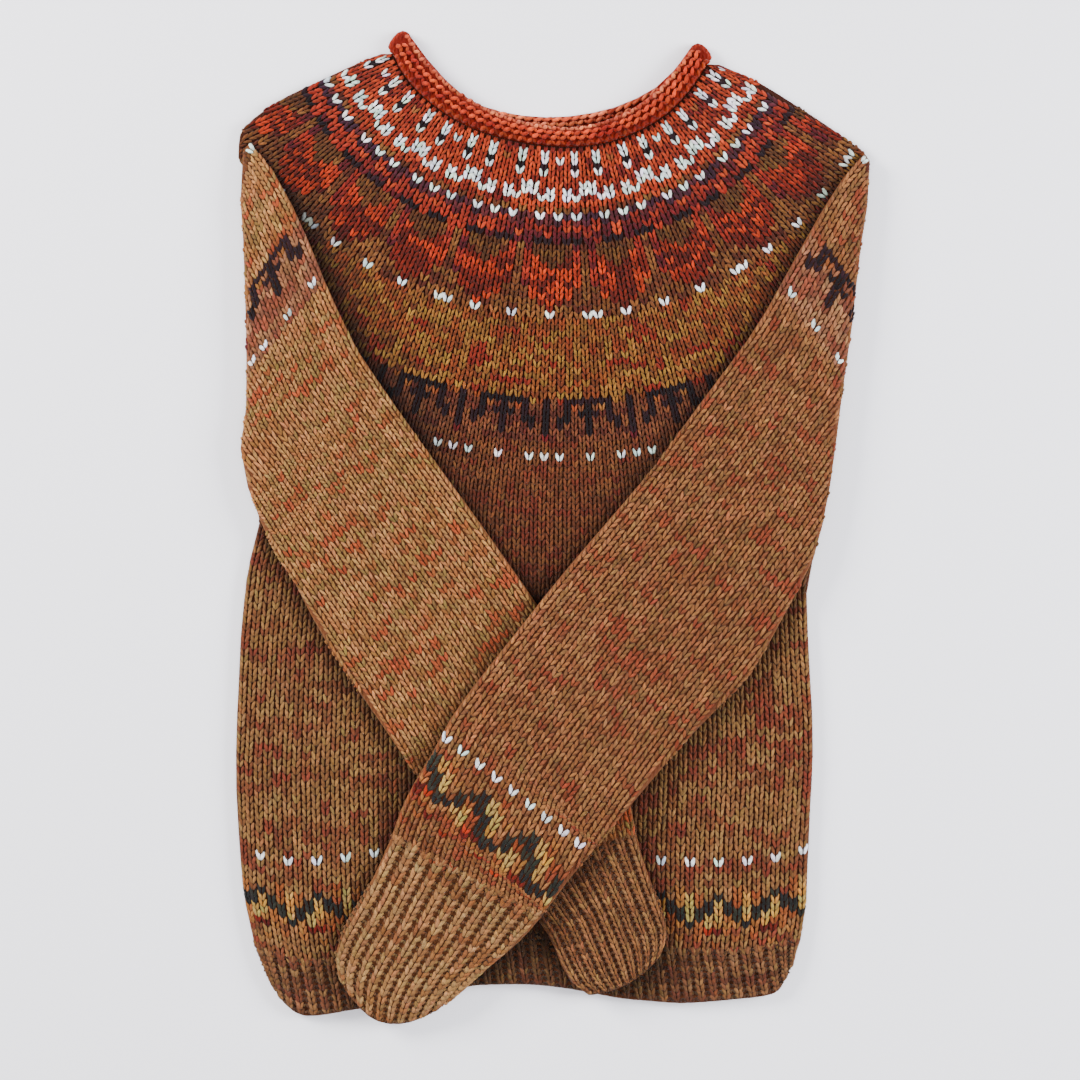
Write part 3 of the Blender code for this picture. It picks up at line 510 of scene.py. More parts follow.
class Drape:
    """Finds the top of some CAD solids under points of the plan."""

    def __init__(self, *names: str) -> None:
        """Gathers the faces of the nodes in one tree.

        Args:
            names: CAD nodes that are looked at together.
        """
        verts = []
        faces = []
        self.owner = []
        for index, name in enumerate(names):
            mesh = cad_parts[name].data
            start = len(verts)
            verts += [tuple(v.co) for v in mesh.vertices]
            for polygon in mesh.polygons:
                faces.append(tuple(start + i for i in polygon.vertices))
                self.owner.append(index)
        self.tree = BVHTree.FromPolygons(verts, faces)

    def look(self, points: np.ndarray) -> tuple:
        """Casts straight down on every point.

        Args:
            points: Plan points, one a row.

        Returns:
            Heights, NaN where nothing is met, and the index of the node met.
        """
        heights = np.full(len(points), np.nan)
        owners = np.full(len(points), -1)
        down = Vector((0.0, 0.0, -1.0))
        for k, (x, y) in enumerate(points):
            hit, _, face, _ = self.tree.ray_cast(Vector((x, y, 0.2)), down)
            if hit is not None:
                heights[k] = hit.z
                owners[k] = self.owner[face]
        return heights, owners

    def bridge(self, points: np.ndarray, heights: np.ndarray) -> np.ndarray:
        """Heights that pass over the narrow grooves where two nodes meet.

        Args:
            points: Plan points, one a row.
            heights: Heights straight under them.

        Returns:
            The heights, raised where both sides of a point are higher.
        """
        for step in (np.array([GROOVE, 0.0]), np.array([0.0, GROOVE])):
            ahead, _ = self.look(points + step)
            behind, _ = self.look(points - step)
            heights = np.fmax(heights, np.minimum(ahead, behind))
        return heights

    def owners(self, points: np.ndarray) -> np.ndarray:
        """Which node lies under each point, or just above it where a groove lies there.

        Args:
            points: Plan points, one a row.

        Returns:
            Indices of the nodes, -1 where there is none.
        """
        _, owner = self.look(points)
        lost = owner < 0
        if lost.any():
            _, owner[lost] = self.look(points[lost] + np.array([0.0, GROOVE]))
        return owner


@dataclass
class Stitches:
    """Stitches of one kind, as arrays with a row for each.

    Args:
        centre: Plan points.
        along: Plan vectors, one course long, towards the hem or cuff.
        across: Plan vectors, one wale wide.
        colour: Linear colours.
        kind: How they are drawn.
    """

    centre: np.ndarray
    along: np.ndarray
    across: np.ndarray
    colour: np.ndarray
    kind: Kind = Kind.KNIT

    @classmethod
    def on_grid(cls, grid: np.ndarray, colour: np.ndarray, kind: Kind = Kind.KNIT) -> "Stitches":
        """Takes stitches from a grid of places.

        Args:
            grid: Plan points by row and column.
            colour: Linear colours in the same order.
            kind: How they are drawn.

        Returns:
            The stitches.
        """
        along = np.gradient(grid, axis=0).reshape(-1, 2)
        across = np.gradient(grid, axis=1).reshape(-1, 2)
        pale = colour.reshape(-1, 3).mean(axis=1) > PALE
        across = across * np.where(pale, PALE_WIDTH, 1.0)[:, None]
        return cls(grid.reshape(-1, 2), along, across, colour.reshape(-1, 3), kind)

    def keep(self, mask: np.ndarray) -> "Stitches":
        """Some of the stitches.

        Args:
            mask: True for those that stay.

        Returns:
            A smaller batch.
        """
        return replace(
            self, centre=self.centre[mask], along=self.along[mask], across=self.across[mask],
            colour=self.colour[mask],
        )

    def clear_of(self, cover: Drape) -> "Stitches":
        """Leaves out what lies well under another part.

        Args:
            cover: What may hide them.

        Returns:
            The stitches that show, and a narrow strip beyond.
        """
        hidden = np.ones(len(self.centre), bool)
        reach = HIDE_REACH
        for step in ((0, 0), (reach, 0), (-reach, 0), (0, reach), (0, -reach)):
            heights, _ = cover.look(self.centre + np.array(step))
            hidden &= ~np.isnan(heights)
        return self.keep(~hidden)

    def shaded(self, cover: Drape, reaches: tuple = CREASE_REACHES) -> "Stitches":
        """Paints shade on them: darkens their colour in the crease beside a part that lies on them.

        Args:
            cover: The parts on top.
            reaches: Distances in metres, each with its weight.

        Returns:
            The stitches in their new colours.
        """
        return replace(self, colour=self.colour * crease_shade(self.centre, cover, reaches)[:, None])


def crease_shade(points: np.ndarray, cover: Drape, reaches: tuple) -> np.ndarray:
    """Painted shade: how much the yarn's colour is darkened in the crease beside a part that lies on
    it.

    Args:
        points: Plan points, one a row.
        cover: The parts on top.
        reaches: Distances in metres, each with its weight.

    Returns:
        Factors on the colour, 1 where nothing is near.
    """
    share = np.zeros(len(points))
    for reach, weight in reaches:
        turns = range(8) if reach < FAR_REACH else range(2, 6)
        for turn in turns:
            angle = turn * math.pi / 4
            step = np.array([reach * math.cos(angle), reach * math.sin(angle)])
            heights, _ = cover.look(points + step)
            share += weight * ~np.isnan(heights) / len(turns)
    return np.maximum(1.0 - PAINTED_CREASE_STRENGTH * share, PAINTED_SHADE_FLOOR)


def leg_template() -> tuple:
    """One plump leg of a stitch, as points and faces.

    Returns:
        Points with x across, y along and z up, all within 1, and triangles in a fixed order.
    """
    bm = bmesh.new()
    bmesh.ops.create_uvsphere(bm, u_segments=6, v_segments=4, radius=1.0)
    bmesh.ops.rotate(bm, verts=bm.verts, matrix=Matrix.Rotation(-math.pi / 2, 3, "X"))
    bmesh.ops.triangulate(bm, faces=bm.faces)
    points = np.array([v.co[:] for v in bm.verts])
    faces = [[v.index for v in f.verts] for f in bm.faces]
    faces = np.array(sorted(f[f.index(min(f)):] + f[:f.index(min(f))] for f in faces))
    bm.free()
    points[:, 1] = np.sign(points[:, 1]) * np.abs(points[:, 1]) ** 0.85
    points[:, 0] *= 1.0 - 0.18 * points[:, 1]
    return points, faces


@dataclass(frozen=True)
class LegShape:
    """Ends and size of one leg of a stitch.

    Args:
        top: First end, as shares of the wale and of the course.
        foot: Second end, in the same way.
        width: Half width, as a share of the wale.
        height: Half height, in metres.
        lift: How far both ends stand above the form, in metres.
        fade: Painted shade at the ends: how much darker they are than the middle.
        shade: Factor on the colour; below 1 it is painted shade on that leg.
    """

    top: tuple
    foot: tuple
    width: float
    height: float
    lift: tuple
    fade: float = 0.38
    shade: float = 1.0

    def mirrored(self, shade: float = 1.0) -> "LegShape":
        """The right leg that goes with this left one.

        Args:
            shade: Factor on its colour; below 1 it is painted shade on that leg.

        Returns:
            The other leg.
        """
        top = (-self.top[0], self.top[1])
        foot = (-self.foot[0], self.foot[1])
        return replace(self, top=top, foot=foot, shade=shade)


KNIT_LEG = LegShape((-0.37, -0.72), (-0.10, 0.76), 0.185, 0.00105, (-0.0003, 0.0005))
RIB_LEG = LegShape((-0.36, -0.70), (-0.10, 0.80), 0.22, 0.0013, (-0.0002, 0.0005))
PURL_LEG = LegShape((-0.52, 0.20), (-0.02, -0.24), 0.25, 0.0015, (-0.0005, 0.0005), 0.6)
# a leg's fade darkens its ends and a shade below 1 darkens one leg of a bump: both are painted shade
LEGS = {
    Kind.KNIT: (KNIT_LEG, KNIT_LEG.mirrored()),
    Kind.RIB: (RIB_LEG, RIB_LEG.mirrored()),
    Kind.PURL: (PURL_LEG, PURL_LEG.mirrored(0.72)),
    Kind.ROLL: (
        LegShape((-0.54, -0.34), (0.24, 0.36), 0.235, 0.0017, (0.0000, 0.0004), 0.6),
        LegShape((0.20, 0.34), (0.50, -0.30), 0.17, 0.0012, (0.0003, -0.0006), 0.6, 0.72),
    ),
}


def add_object(name: str, data: bpy.types.ID) -> bpy.types.Object:
    """Puts a mesh, a light or a camera in the scene.

    Args:
        name: Name of the object.
        data: What it shows.

    Returns:
        The object, at the origin and unturned.
    """
    obj = bpy.data.objects.new(name, data)
    bpy.context.scene.collection.objects.link(obj)
    return obj


class Knitter:
    """Turns batches of stitches into joined meshes."""

    def __init__(self) -> None:
        """Makes the leg that every stitch repeats."""
        self.points, self.faces = leg_template()

    def leg(self, top: np.ndarray, foot: np.ndarray, width: np.ndarray, height: float) -> np.ndarray:
        """Places the template between two ends for every stitch.

        Args:
            top: First ends, three values a row.
            foot: Second ends.
            width: Half widths.
            height: Half height.

        Returns:
            Points by stitch and template point.
        """
        half = 0.5 * (foot - top)
        middle = 0.5 * (foot + top)
        length = np.linalg.norm(half, axis=1)[:, None]
        way = half / np.maximum(length, 1e-9)
        up = np.array([0.0, 0.0, 1.0]) - way * way[:, 2:3]
        up /= np.linalg.norm(up, axis=1)[:, None]
        side = np.cross(way, up)
        t = self.points
        return (
            middle[:, None, :]
            + side[:, None, :] * (width[:, None] * t[None, :, 0])[:, :, None]
            + half[:, None, :] * t[None, :, 1][:, :, None]
            + up[:, None, :] * (height * t[None, :, 2])[:, :, None]
        )

    def end(
        self, batch: Stitches, share: tuple, lift: float, rest: np.ndarray, drape: Drape,
        chance: np.random.Generator,
    ) -> np.ndarray:
        """Lays one end of a leg of every stitch on the form, strayed a little.

        Args:
            batch: The stitches.
            share: Place of the end, as shares of the wale and of the course.
            lift: How far it stands above the form, in metres.
            rest: Height of the form under each stitch.
            drape: The form.
            chance: Source of the straying.

        Returns:
            Points, three values a row.
        """
        shake = chance.normal(0.0, SHAKE, (2, len(rest), 1))
        reach = (share[0] + shake[0]) * batch.across + (share[1] + shake[1]) * batch.along
        plan = batch.centre + reach
        height, _ = drape.look(plan)
        for part in RETREAT:
            lost = np.isnan(height)
            if lost.any():
                plan[lost] = (batch.centre + part * reach)[lost]
                height[lost], _ = drape.look(plan[lost])
        height = drape.bridge(plan, np.where(np.isnan(height), rest, height))
        height = np.clip(height, rest - STEP_LIMIT, rest + STEP_LIMIT)
        return np.column_stack([plan, height + lift])

    def legs(
        self, batch: Stitches, rest: np.ndarray, drape: Drape, chance: np.random.Generator
    ) -> np.ndarray:
        """Shapes both legs of every stitch.

        Args:
            batch: The stitches.
            rest: Height of the form under each.
            drape: The form.
            chance: Source of the straying.

        Returns:
            Points by stitch, leg and template point.
        """
        wale = np.linalg.norm(batch.across, axis=1)
        out = []
        for shape in LEGS[batch.kind]:
            top = self.end(batch, shape.top, shape.lift[0], rest, drape, chance)
            foot = self.end(batch, shape.foot, shape.lift[1], rest, drape, chance)
            width = shape.width * wale * chance.uniform(*PLUMPNESS, len(wale))
            out.append(self.leg(top, foot, width, shape.height))
        return np.stack(out, axis=1)

    def tints(self, batch: Stitches, chance: np.random.Generator) -> np.ndarray:
        """Colours every point with its yarn, varied from leg to leg, with painted shade at the ends
        and on the darker leg of a bump.

        Args:
            batch: The stitches.
            chance: Source of the variation.

        Returns:
            Linear colours by stitch, leg and template point.
        """
        shapes = LEGS[batch.kind]
        size = (len(batch.colour), len(shapes))
        bright, hue = TINT_SPREAD
        jitter = np.exp(chance.normal(0.0, bright, (*size, 1)) + chance.normal(0.0, hue, (*size, 3)))
        jitter *= np.array([shape.shade for shape in shapes])[:, None]
        fade = np.array([shape.fade for shape in shapes])[:, None]
        ends = 1.0 - fade * np.abs(self.points[:, 1]) ** 3
        return (batch.colour[:, None, :] * jitter)[:, :, None, :] * ends[..., None]

    def knit(self, name: str, batch: Stitches, drape: Drape, slot: str, finish: "YarnFinish") -> list:
        """Builds the pieces of one batch.

        Args:
            name: Start of the pieces' names.
            batch: The stitches.
            drape: What they lie on.
            slot: Material slot of the record.
            finish: Their material.

        Returns:
            The new objects.
        """
        rest, _ = drape.look(batch.centre)
        rest = drape.bridge(batch.centre, rest)
        batch = batch.keep(~np.isnan(rest))
        rest = rest[~np.isnan(rest)]
        chance = np.random.default_rng(SEED + sum(map(ord, name)))
        points = self.legs(batch, rest, drape, chance)
        tint = self.tints(batch, chance)
        count, per, verts = points.shape[:3]
        parts = max(1, math.ceil(count * per * len(self.faces) / LEG_LIMIT))
        out = []
        for part, index in enumerate(np.array_split(np.arange(count), parts)):
            start = np.arange(len(index) * per)[:, None, None] * verts
            faces = (self.faces[None] + start).reshape(-1, 3)
            label = name if parts == 1 else f"{name}_{part + 1}"
            obj = self.join(label, points[index].reshape(-1, 3), faces, tint[index].reshape(-1, 3))
            obj.data.materials.append(finish.material(slot))
            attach(obj, "root")
            out.append(obj)
        return out

    def join(
        self, name: str, points: np.ndarray, faces: np.ndarray, tint: np.ndarray
    ) -> bpy.types.Object:
        """Makes one object from arrays.

        Args:
            name: Name of the object.
            points: Places.
            faces: Triangles.
            tint: Linear colour of every point.

        Returns:
            The object.
        """
        mesh = bpy.data.meshes.new(name)
        mesh.vertices.add(len(points))
        mesh.vertices.foreach_set("co", points.astype(np.float32).ravel())
        mesh.loops.add(faces.size)
        mesh.loops.foreach_set("vertex_index", faces.astype(np.int32).ravel())
        mesh.polygons.add(len(faces))
        mesh.polygons.foreach_set("loop_start", np.arange(0, faces.size, 3, dtype=np.int32))
        mesh.update(calc_edges=True)
        mesh.shade_smooth()
        attribute = mesh.attributes.new("yarn", "FLOAT_COLOR", "POINT")
        rgba = np.ones((len(points), 4), np.float32)
        rgba[:, :3] = tint
        attribute.data.foreach_set("color", rgba.ravel())
        return add_object(name, mesh)


def new_material(
    name: str, roughness: float, specular: float, sheen: float = 0.0, spread: float = 0.5
) -> tuple:
    """Starts a material.

    Args:
        name: Name of the material.
        roughness: Roughness of the surface.
        specular: Level of the reflection.
        sheen: Weight of the sheen.
        spread: Roughness of the sheen.

    Returns:
        The material and its shader.
    """
    material = bpy.data.materials.new(name)
    material.use_nodes = True
    shader = material.node_tree.nodes["Principled BSDF"]
    shader.inputs["Roughness"].default_value = roughness
    shader.inputs["Specular IOR Level"].default_value = specular
    shader.inputs["Sheen Weight"].default_value = sheen
    shader.inputs["Sheen Roughness"].default_value = spread
    return material, shader


def noise_node(
    tree: bpy.types.NodeTree, place: bpy.types.NodeSocket, scale: float, detail: float
) -> bpy.types.NodeSocket:
    """Adds a noise.

    Args:
        tree: Where it goes.
        place: The coordinates that it follows.
        scale: Its scale.
        detail: Its detail.

    Returns:
        Its value.
    """
    node = tree.nodes.new("ShaderNodeTexNoise")
    node.inputs["Scale"].default_value = scale
    node.inputs["Detail"].default_value = detail
    tree.links.new(place, node.inputs["Vector"])
    return node.outputs["Fac"]


def math_node(tree: bpy.types.NodeTree, operation: str, *values: object) -> bpy.types.NodeSocket:
    """Adds a sum.

    Args:
        tree: Where it goes.
        operation: Which sum it is.
        values: Numbers or sockets, in the order of its inputs.

    Returns:
        Its value.
    """
    node = tree.nodes.new("ShaderNodeMath")
    node.operation = operation
    for socket, value in zip(node.inputs, values):
        if isinstance(value, (int, float)):
            socket.default_value = value
        else:
            tree.links.new(value, socket)
    return node.outputs["Value"]


def bump_node(
    tree: bpy.types.NodeTree, height: bpy.types.NodeSocket, shader: bpy.types.Node,
    strength: float, distance: float,
) -> None:
    """Feeds a height to a shader through a bump.

    Args:
        tree: Where it goes.
        height: The height.
        shader: The shader.
        strength: How strongly it acts.
        distance: How deep it is, in metres.
    """
    bump = tree.nodes.new("ShaderNodeBump")
    bump.inputs["Strength"].default_value = strength
    bump.inputs["Distance"].default_value = distance
    tree.links.new(height, bump.inputs["Height"])
    tree.links.new(bump.outputs["Normal"], shader.inputs["Normal"])


def mix_node(tree: bpy.types.NodeTree, blend: str = "MIX") -> bpy.types.Node:
    """Adds a mix of two colours.

    Args:
        tree: Where it goes.
        blend: How they are mixed.

    Returns:
        The node.
    """
    mix = tree.nodes.new("ShaderNodeMix")
    mix.data_type = "RGBA"
    mix.blend_type = blend
    return mix


@dataclass(frozen=True)
class YarnFinish:
    """Wool yarn, coloured by the stitches' own attribute.

    Args:
        fuzz: Weight of the sheen.
    """

    fuzz: float = 0.09

    def material(self, slot: str) -> bpy.types.Material:
        """The material, made once for each slot.

        Args:
            slot: Material slot of the record.

        Returns:
            The material.
        """
        name = "yarn_" + slot
        if name in bpy.data.materials:
            return bpy.data.materials[name]
        material, shader = new_material(name, 0.92, 0.12, self.fuzz, 0.45)
        tree = material.node_tree
        tint = tree.nodes.new("ShaderNodeAttribute")
        tint.attribute_name = "yarn"
        fibres = tree.nodes.new("ShaderNodeGroup")
        fibres.node_tree = fibre_group()
        mix = mix_node(tree, "MULTIPLY")
        mix.inputs["Factor"].default_value = 1.0
        tree.links.new(tint.outputs["Color"], mix.inputs[MIX_FIRST])
        tree.links.new(fibres.outputs["Tint"], mix.inputs[MIX_SECOND])
        tree.links.new(mix.outputs[MIX_RESULT], shader.inputs["Base Color"])
        bump_node(tree, fibres.outputs["Height"], shader, 0.55, 0.0006)
        return material


def fibre_group() -> bpy.types.NodeTree:
    """Node group of loose fibres: a tint factor and a height.

    Returns:
        The group, made once.
    """
    if "Fibres" in bpy.data.node_groups:
        return bpy.data.node_groups["Fibres"]
    tree = bpy.data.node_groups.new("Fibres", "ShaderNodeTree")
    tree.interface.new_socket("Tint", in_out="OUTPUT", socket_type="NodeSocketColor")
    tree.interface.new_socket("Height", in_out="OUTPUT", socket_type="NodeSocketFloat")
    out = tree.nodes.new("NodeGroupOutput")
    place = tree.nodes.new("ShaderNodeTexCoord").outputs["Object"]
    coarse = noise_node(tree, place, 420.0, 3.0)
    fine = noise_node(tree, place, 1900.0, 4.0)
    ramp = tree.nodes.new("ShaderNodeValToRGB")
    dull, bright = ramp.color_ramp.elements
    dull.position = 0.25
    dull.color = (0.62, 0.58, 0.56, 1.0)
    bright.position = 0.78
    bright.color = (1.32, 1.34, 1.36, 1.0)
    height = math_node(tree, "MULTIPLY_ADD", coarse, 0.6, fine)
    tree.links.new(height, out.inputs["Height"])
    tree.links.new(coarse, ramp.inputs["Fac"])
    tree.links.new(ramp.outputs["Color"], out.inputs["Tint"])
    return tree


def weave_group() -> bpy.types.NodeTree:
    """Node group of flat stocking stitch for the sides that hold no raised stitches.

    Returns:
        The group, made once, with a mask of the stitches.
    """
    if "Stocking" in bpy.data.node_groups:
        return bpy.data.node_groups["Stocking"]
    tree = bpy.data.node_groups.new("Stocking", "ShaderNodeTree")
    tree.interface.new_socket("Wale", in_out="INPUT", socket_type="NodeSocketFloat")
    tree.interface.new_socket("Course", in_out="INPUT", socket_type="NodeSocketFloat")
    tree.interface.new_socket("Mask", in_out="OUTPUT", socket_type="NodeSocketFloat")
    source = tree.nodes.new("NodeGroupInput")
    out = tree.nodes.new("NodeGroupOutput")
    part = math_node(tree, "FRACT", source.outputs["Wale"])
    lean = math_node(tree, "ABSOLUTE", math_node(tree, "SUBTRACT", part, 0.5))
    rise = math_node(tree, "ADD", source.outputs["Course"], math_node(tree, "MULTIPLY", lean, 1.5))
    middle = math_node(tree, "SUBTRACT", math_node(tree, "FRACT", rise), 0.5)
    band = math_node(tree, "ABSOLUTE", middle)
    leg = math_node(tree, "ABSOLUTE", math_node(tree, "SUBTRACT", lean, 0.25))
    tall = math_node(tree, "SUBTRACT", 1.0, math_node(tree, "MULTIPLY", band, 1.3))
    wide = math_node(tree, "SUBTRACT", 1.0, math_node(tree, "MULTIPLY", leg, 3.0))
    tree.links.new(math_node(tree, "MULTIPLY", tall, wide), out.inputs["Mask"])
    return tree


@dataclass(frozen=True)
class ShellFinish:
    """Knitted wall under the stitches.

    Args:
        slot: Material slot of the record.
        shades: Display colours of the heather, or of the rings from the neck outwards.
        gap: Display colour painted as the shade under and between raised stitches and between the
            legs of the flat weave.
        rings: Where each shade begins, in metres from the middle of the neck; none for a heather.
    """

    slot: str
    shades: tuple
    gap: tuple = (44, 18, 10)
    rings: tuple = ()

    def material(self) -> bpy.types.Material:
        """Builds the material.

        Returns:
            The material.
        """
        material, shader = new_material("shell_" + self.slot, 0.95, 0.08, 0.02)
        tree = material.node_tree
        links = tree.links
        place = tree.nodes.new("ShaderNodeAttribute")
        place.attribute_name = "knit"
        split = tree.nodes.new("ShaderNodeSeparateXYZ")
        weave = tree.nodes.new("ShaderNodeGroup")
        weave.node_tree = weave_group()
        links.new(place.outputs["Vector"], split.inputs["Vector"])
        links.new(split.outputs["X"], weave.inputs["Wale"])
        links.new(split.outputs["Y"], weave.inputs["Course"])
        if self.rings:
            drift = self.distance(tree)
        else:
            drift = noise_node(tree, place.outputs["Vector"], 0.35, 3.0)
        # the gap colour is painted shade: between the legs of the flat weave, and everywhere under
        # the raised stitches
        gap = (*linear(self.gap), 1.0)
        dark = mix_node(tree)
        dark.inputs[MIX_FIRST].default_value = gap
        links.new(weave.outputs["Mask"], dark.inputs["Factor"])
        links.new(self.ramp(tree, drift), dark.inputs[MIX_SECOND])
        cover = mix_node(tree)
        cover.inputs[MIX_SECOND].default_value = gap
        links.new(split.outputs["Z"], cover.inputs["Factor"])
        links.new(dark.outputs[MIX_RESULT], cover.inputs[MIX_FIRST])
        links.new(cover.outputs[MIX_RESULT], shader.inputs["Base Color"])
        bump_node(tree, weave.outputs["Mask"], shader, 0.8, 0.0014)
        return material

    def distance(self, tree: bpy.types.NodeTree) -> bpy.types.NodeSocket:
        """Distance from the middle of the neck, as a share of the span of the rings.

        Args:
            tree: The material's nodes.

        Returns:
            The share.
        """
        form = tree.nodes.new("ShaderNodeTexCoord")
        away = tree.nodes.new("ShaderNodeVectorMath")
        away.operation = "DISTANCE"
        away.inputs[1].default_value = (*NECK_CENTRE, 0.0)
        tree.links.new(form.outputs["Object"], away.inputs[0])
        return math_node(tree, "DIVIDE", away.outputs["Value"], RING_SPAN)

    def ramp(self, tree: bpy.types.NodeTree, drift: bpy.types.NodeSocket) -> bpy.types.NodeSocket:
        """Turns a share into one of the shades.

        Args:
            tree: The material's nodes.
            drift: The share.

        Returns:
            The colour.
        """
        node = tree.nodes.new("ShaderNodeValToRGB")
        elements = node.color_ramp.elements
        for k, shade in enumerate(self.shades):
            share = self.rings[k] / RING_SPAN if self.rings else k / (len(self.shades) - 1)
            element = elements[k] if k < 2 else elements.new(share)
            element.position = share
            element.color = (*linear(shade), 1.0)
        if self.rings:
            node.color_ramp.interpolation = "CONSTANT"
        tree.links.new(drift, node.inputs["Fac"])
        return node.outputs["Color"]


@dataclass(frozen=True)
class Shell:
    """Cloth wall on the form of one CAD solid.

    Args:
        node: The CAD node that it replaces.
        finish: Its material.
        flat: Width and length of the cut, in metres; not used.
        area: Area of the cut, in square metres; not used.
        held: How the cloth is held; not used.
        rests_on: What it lies on; not used.
        turn: Direction of the wales, in degrees from straight down.
    """

    node: str
    finish: ShellFinish
    flat: tuple
    area: float
    held: str = "laid"
    rests_on: tuple = ()
    turn: float = 0.0

    def build(self, stitches: list) -> bpy.types.Object:
        """Args:
            stitches: The raised stitches that belong to it.

        Returns:
            The shell.
        """
        bm = bmesh.new()
        bm.from_mesh(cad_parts[self.node].data)
        bmesh.ops.remove_doubles(bm, verts=bm.verts, dist=MERGE_GAP)
        for _ in range(2):
            long = [e for e in bm.edges if e.calc_length() > EDGE_LIMIT]
            bmesh.ops.subdivide_edges(bm, edges=long, cuts=1)
        bmesh.ops.triangulate(bm, faces=[f for f in bm.faces if len(f.verts) > 4])
        bm.normal_update()
        self.weave(bm, bool(stitches))
        if stitches:
            for vert in bm.verts:
                if vert.normal.z > SINK_TILT:
                    vert.co.z -= SINK * min(1.0, vert.normal.z)
        mesh = bpy.data.meshes.new(self.node + "_shell")
        bm.to_mesh(mesh)
        bm.free()
        mesh.shade_smooth()
        obj = add_object(self.node + "_shell", mesh)
        obj.data.materials.append(self.finish.material())
        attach(obj, "root")
        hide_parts(self.node)
        return obj

    def weave(self, bm: bmesh.types.BMesh, covered: bool) -> None:
        """Writes down where the wales and courses run, and which points lie under stitches, where the
        material paints the gap's shade colour.

        Args:
            bm: The wall's mesh.
            covered: Whether raised stitches lie on it.
        """
        knit = bm.verts.layers.float_vector.new("knit")
        c = math.cos(math.radians(self.turn))
        s = math.sin(math.radians(self.turn))
        for vert in bm.verts:
            top = float(ease(np.array((vert.normal.z - TOP_TILT) / TOP_BLEND))) if covered else 0.0
            x, y = vert.co.x, vert.co.y
            vert[knit] = ((c * x + s * y) / WALE, (c * y - s * x) / COURSE, top)


TAN = ((100, 60, 32), (122, 80, 44), (110, 68, 37), (130, 88, 50))
BAND_SHADES = ((142, 34, 14), (172, 52, 20), (156, 42, 16), (182, 70, 34))
YOKE_SHADES = ((140, 46, 18), (66, 22, 26), (112, 48, 22), (112, 68, 26), (58, 26, 20), (88, 48, 25))
YOKE_RINGS = (0.0, 0.167, 0.189, 0.240, 0.297, 0.327)
# the third colour of a finish is the painted shade between and under the stitches
NECK_WOOL = ShellFinish("wool_neck", BAND_SHADES, (84, 14, 6))
YOKE_WOOL = ShellFinish("wool_yoke", YOKE_SHADES, rings=YOKE_RINGS)
BODY_WOOL = ShellFinish("wool_body", TAN, (54, 26, 15))
RIB_WOOL = ShellFinish("wool_rib", TAN, (70, 38, 22))
SLEEVE_WOOL = ShellFinish("wool_sleeve", TAN, (80, 42, 25))
DARK_SLEEVE_WOOL = ShellFinish("wool_sleeve_dark", TAN, (86, 48, 28))
CUFF_WOOL = ShellFinish("wool_cuff", TAN, (92, 54, 32))
ON_BODY = ("body_front_shell",)
SHELLS = (
    Shell("yoke_back", YOKE_WOOL, (0.446, 0.30), 0.104),
    Shell("body_back", BODY_WOOL, (0.44, 0.60), 0.137),
    Shell("hem_rib_back", RIB_WOOL, (0.383, 0.045), 0.0136),
    Shell("yoke_front", YOKE_WOOL, (0.446, 0.30), 0.102, rests_on=("yoke_back_shell",)),
    Shell("body_front", BODY_WOOL, (0.44, 0.60), 0.137, rests_on=("body_back_shell",)),
    Shell("hem_rib_front", RIB_WOOL, (0.383, 0.045), 0.014, rests_on=("hem_rib_back_shell",)),
    Shell("neckband", NECK_WOOL, (0.50, 0.03), 0.0103, rests_on=("yoke_front_shell",)),
    Shell("left_sleeve", DARK_SLEEVE_WOOL, (0.29, 0.56), 0.107, "folded", ON_BODY, 33.0),
    Shell("left_cuff", RIB_WOOL, (0.19, 0.09), 0.014, "folded", ON_BODY, 25.0),
    Shell("right_sleeve", SLEEVE_WOOL, (0.30, 0.60), 0.117, "folded", ON_BODY, -40.0),
    Shell("right_cuff", CUFF_WOOL, (0.236, 0.11), 0.0219, "folded", ("hem_rib_front_shell",), -30.0),
)


class Bench:
    """What every part is knitted with, and the pieces made so far."""

    def __init__(self) -> None:
        """Reads the tops of the solids and the inner edges of the sleeves."""
        self.knitter = Knitter()
        self.finish = YarnFinish()
        self.front = Drape("yoke_front", "body_front", "hem_rib_front")
        self.arms = Drape("left_sleeve", "left_cuff", "right_sleeve", "right_cuff")
        self.arm = {side: Drape(f"{side.value}_sleeve", f"{side.value}_cuff") for side in Side}
        self.left = Trace.through(LEFT_TOP_EDGE)
        self.right = Trace.through(RIGHT_TOP_EDGE)
        self.pieces = {name: [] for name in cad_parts}

    def between(self, points: np.ndarray, margin: float) -> np.ndarray:
        """Which points lie between the inner edges of both sleeves.

        Args:
            points: Plan points, one a row.
            margin: How far inside they lie at least, in metres.

        Returns:
            True for those that do.
        """
        return (self.left.offset(points) > margin) & (self.right.offset(points) < -margin)

    def knit(self, node: str, name: str, batch: Stitches, drape: Drape, slot: str) -> None:
        """Knits a batch, reports its pieces and keeps them under their node.

        Args:
            node: The CAD node that they belong to.
            name: Start of their names.
            batch: The stitches.
            drape: What they lie on.
            slot: Material slot of the record.
        """
        for obj in self.knitter.knit(name, batch, drape, slot, self.finish):
            self.pieces[node].append(obj)
            LOG.info("%s: %d triangles on %s", obj.name, len(obj.data.polygons), node)


@dataclass(frozen=True)
class YokeBand:
    """Rows of the yoke that share one count of stitches.

    Args:
        first: First row.
        last: Row after the last one.
        wale: Width of a stitch at the middle row, in metres.
        shift: How far the middle of the pattern lies from the middle of the seam, in metres.
    """

    first: int
    last: int
    wale: float
    shift: float


YOKE_BANDS = (
    YokeBand(-1, 16, 0.0059, 0.0093),
    YokeBand(16, 28, 0.0061, 0.0085),
    YokeBand(28, 41, 0.0056, 0.0085),
    YokeBand(41, 52, 0.00515, 0.0174),
)


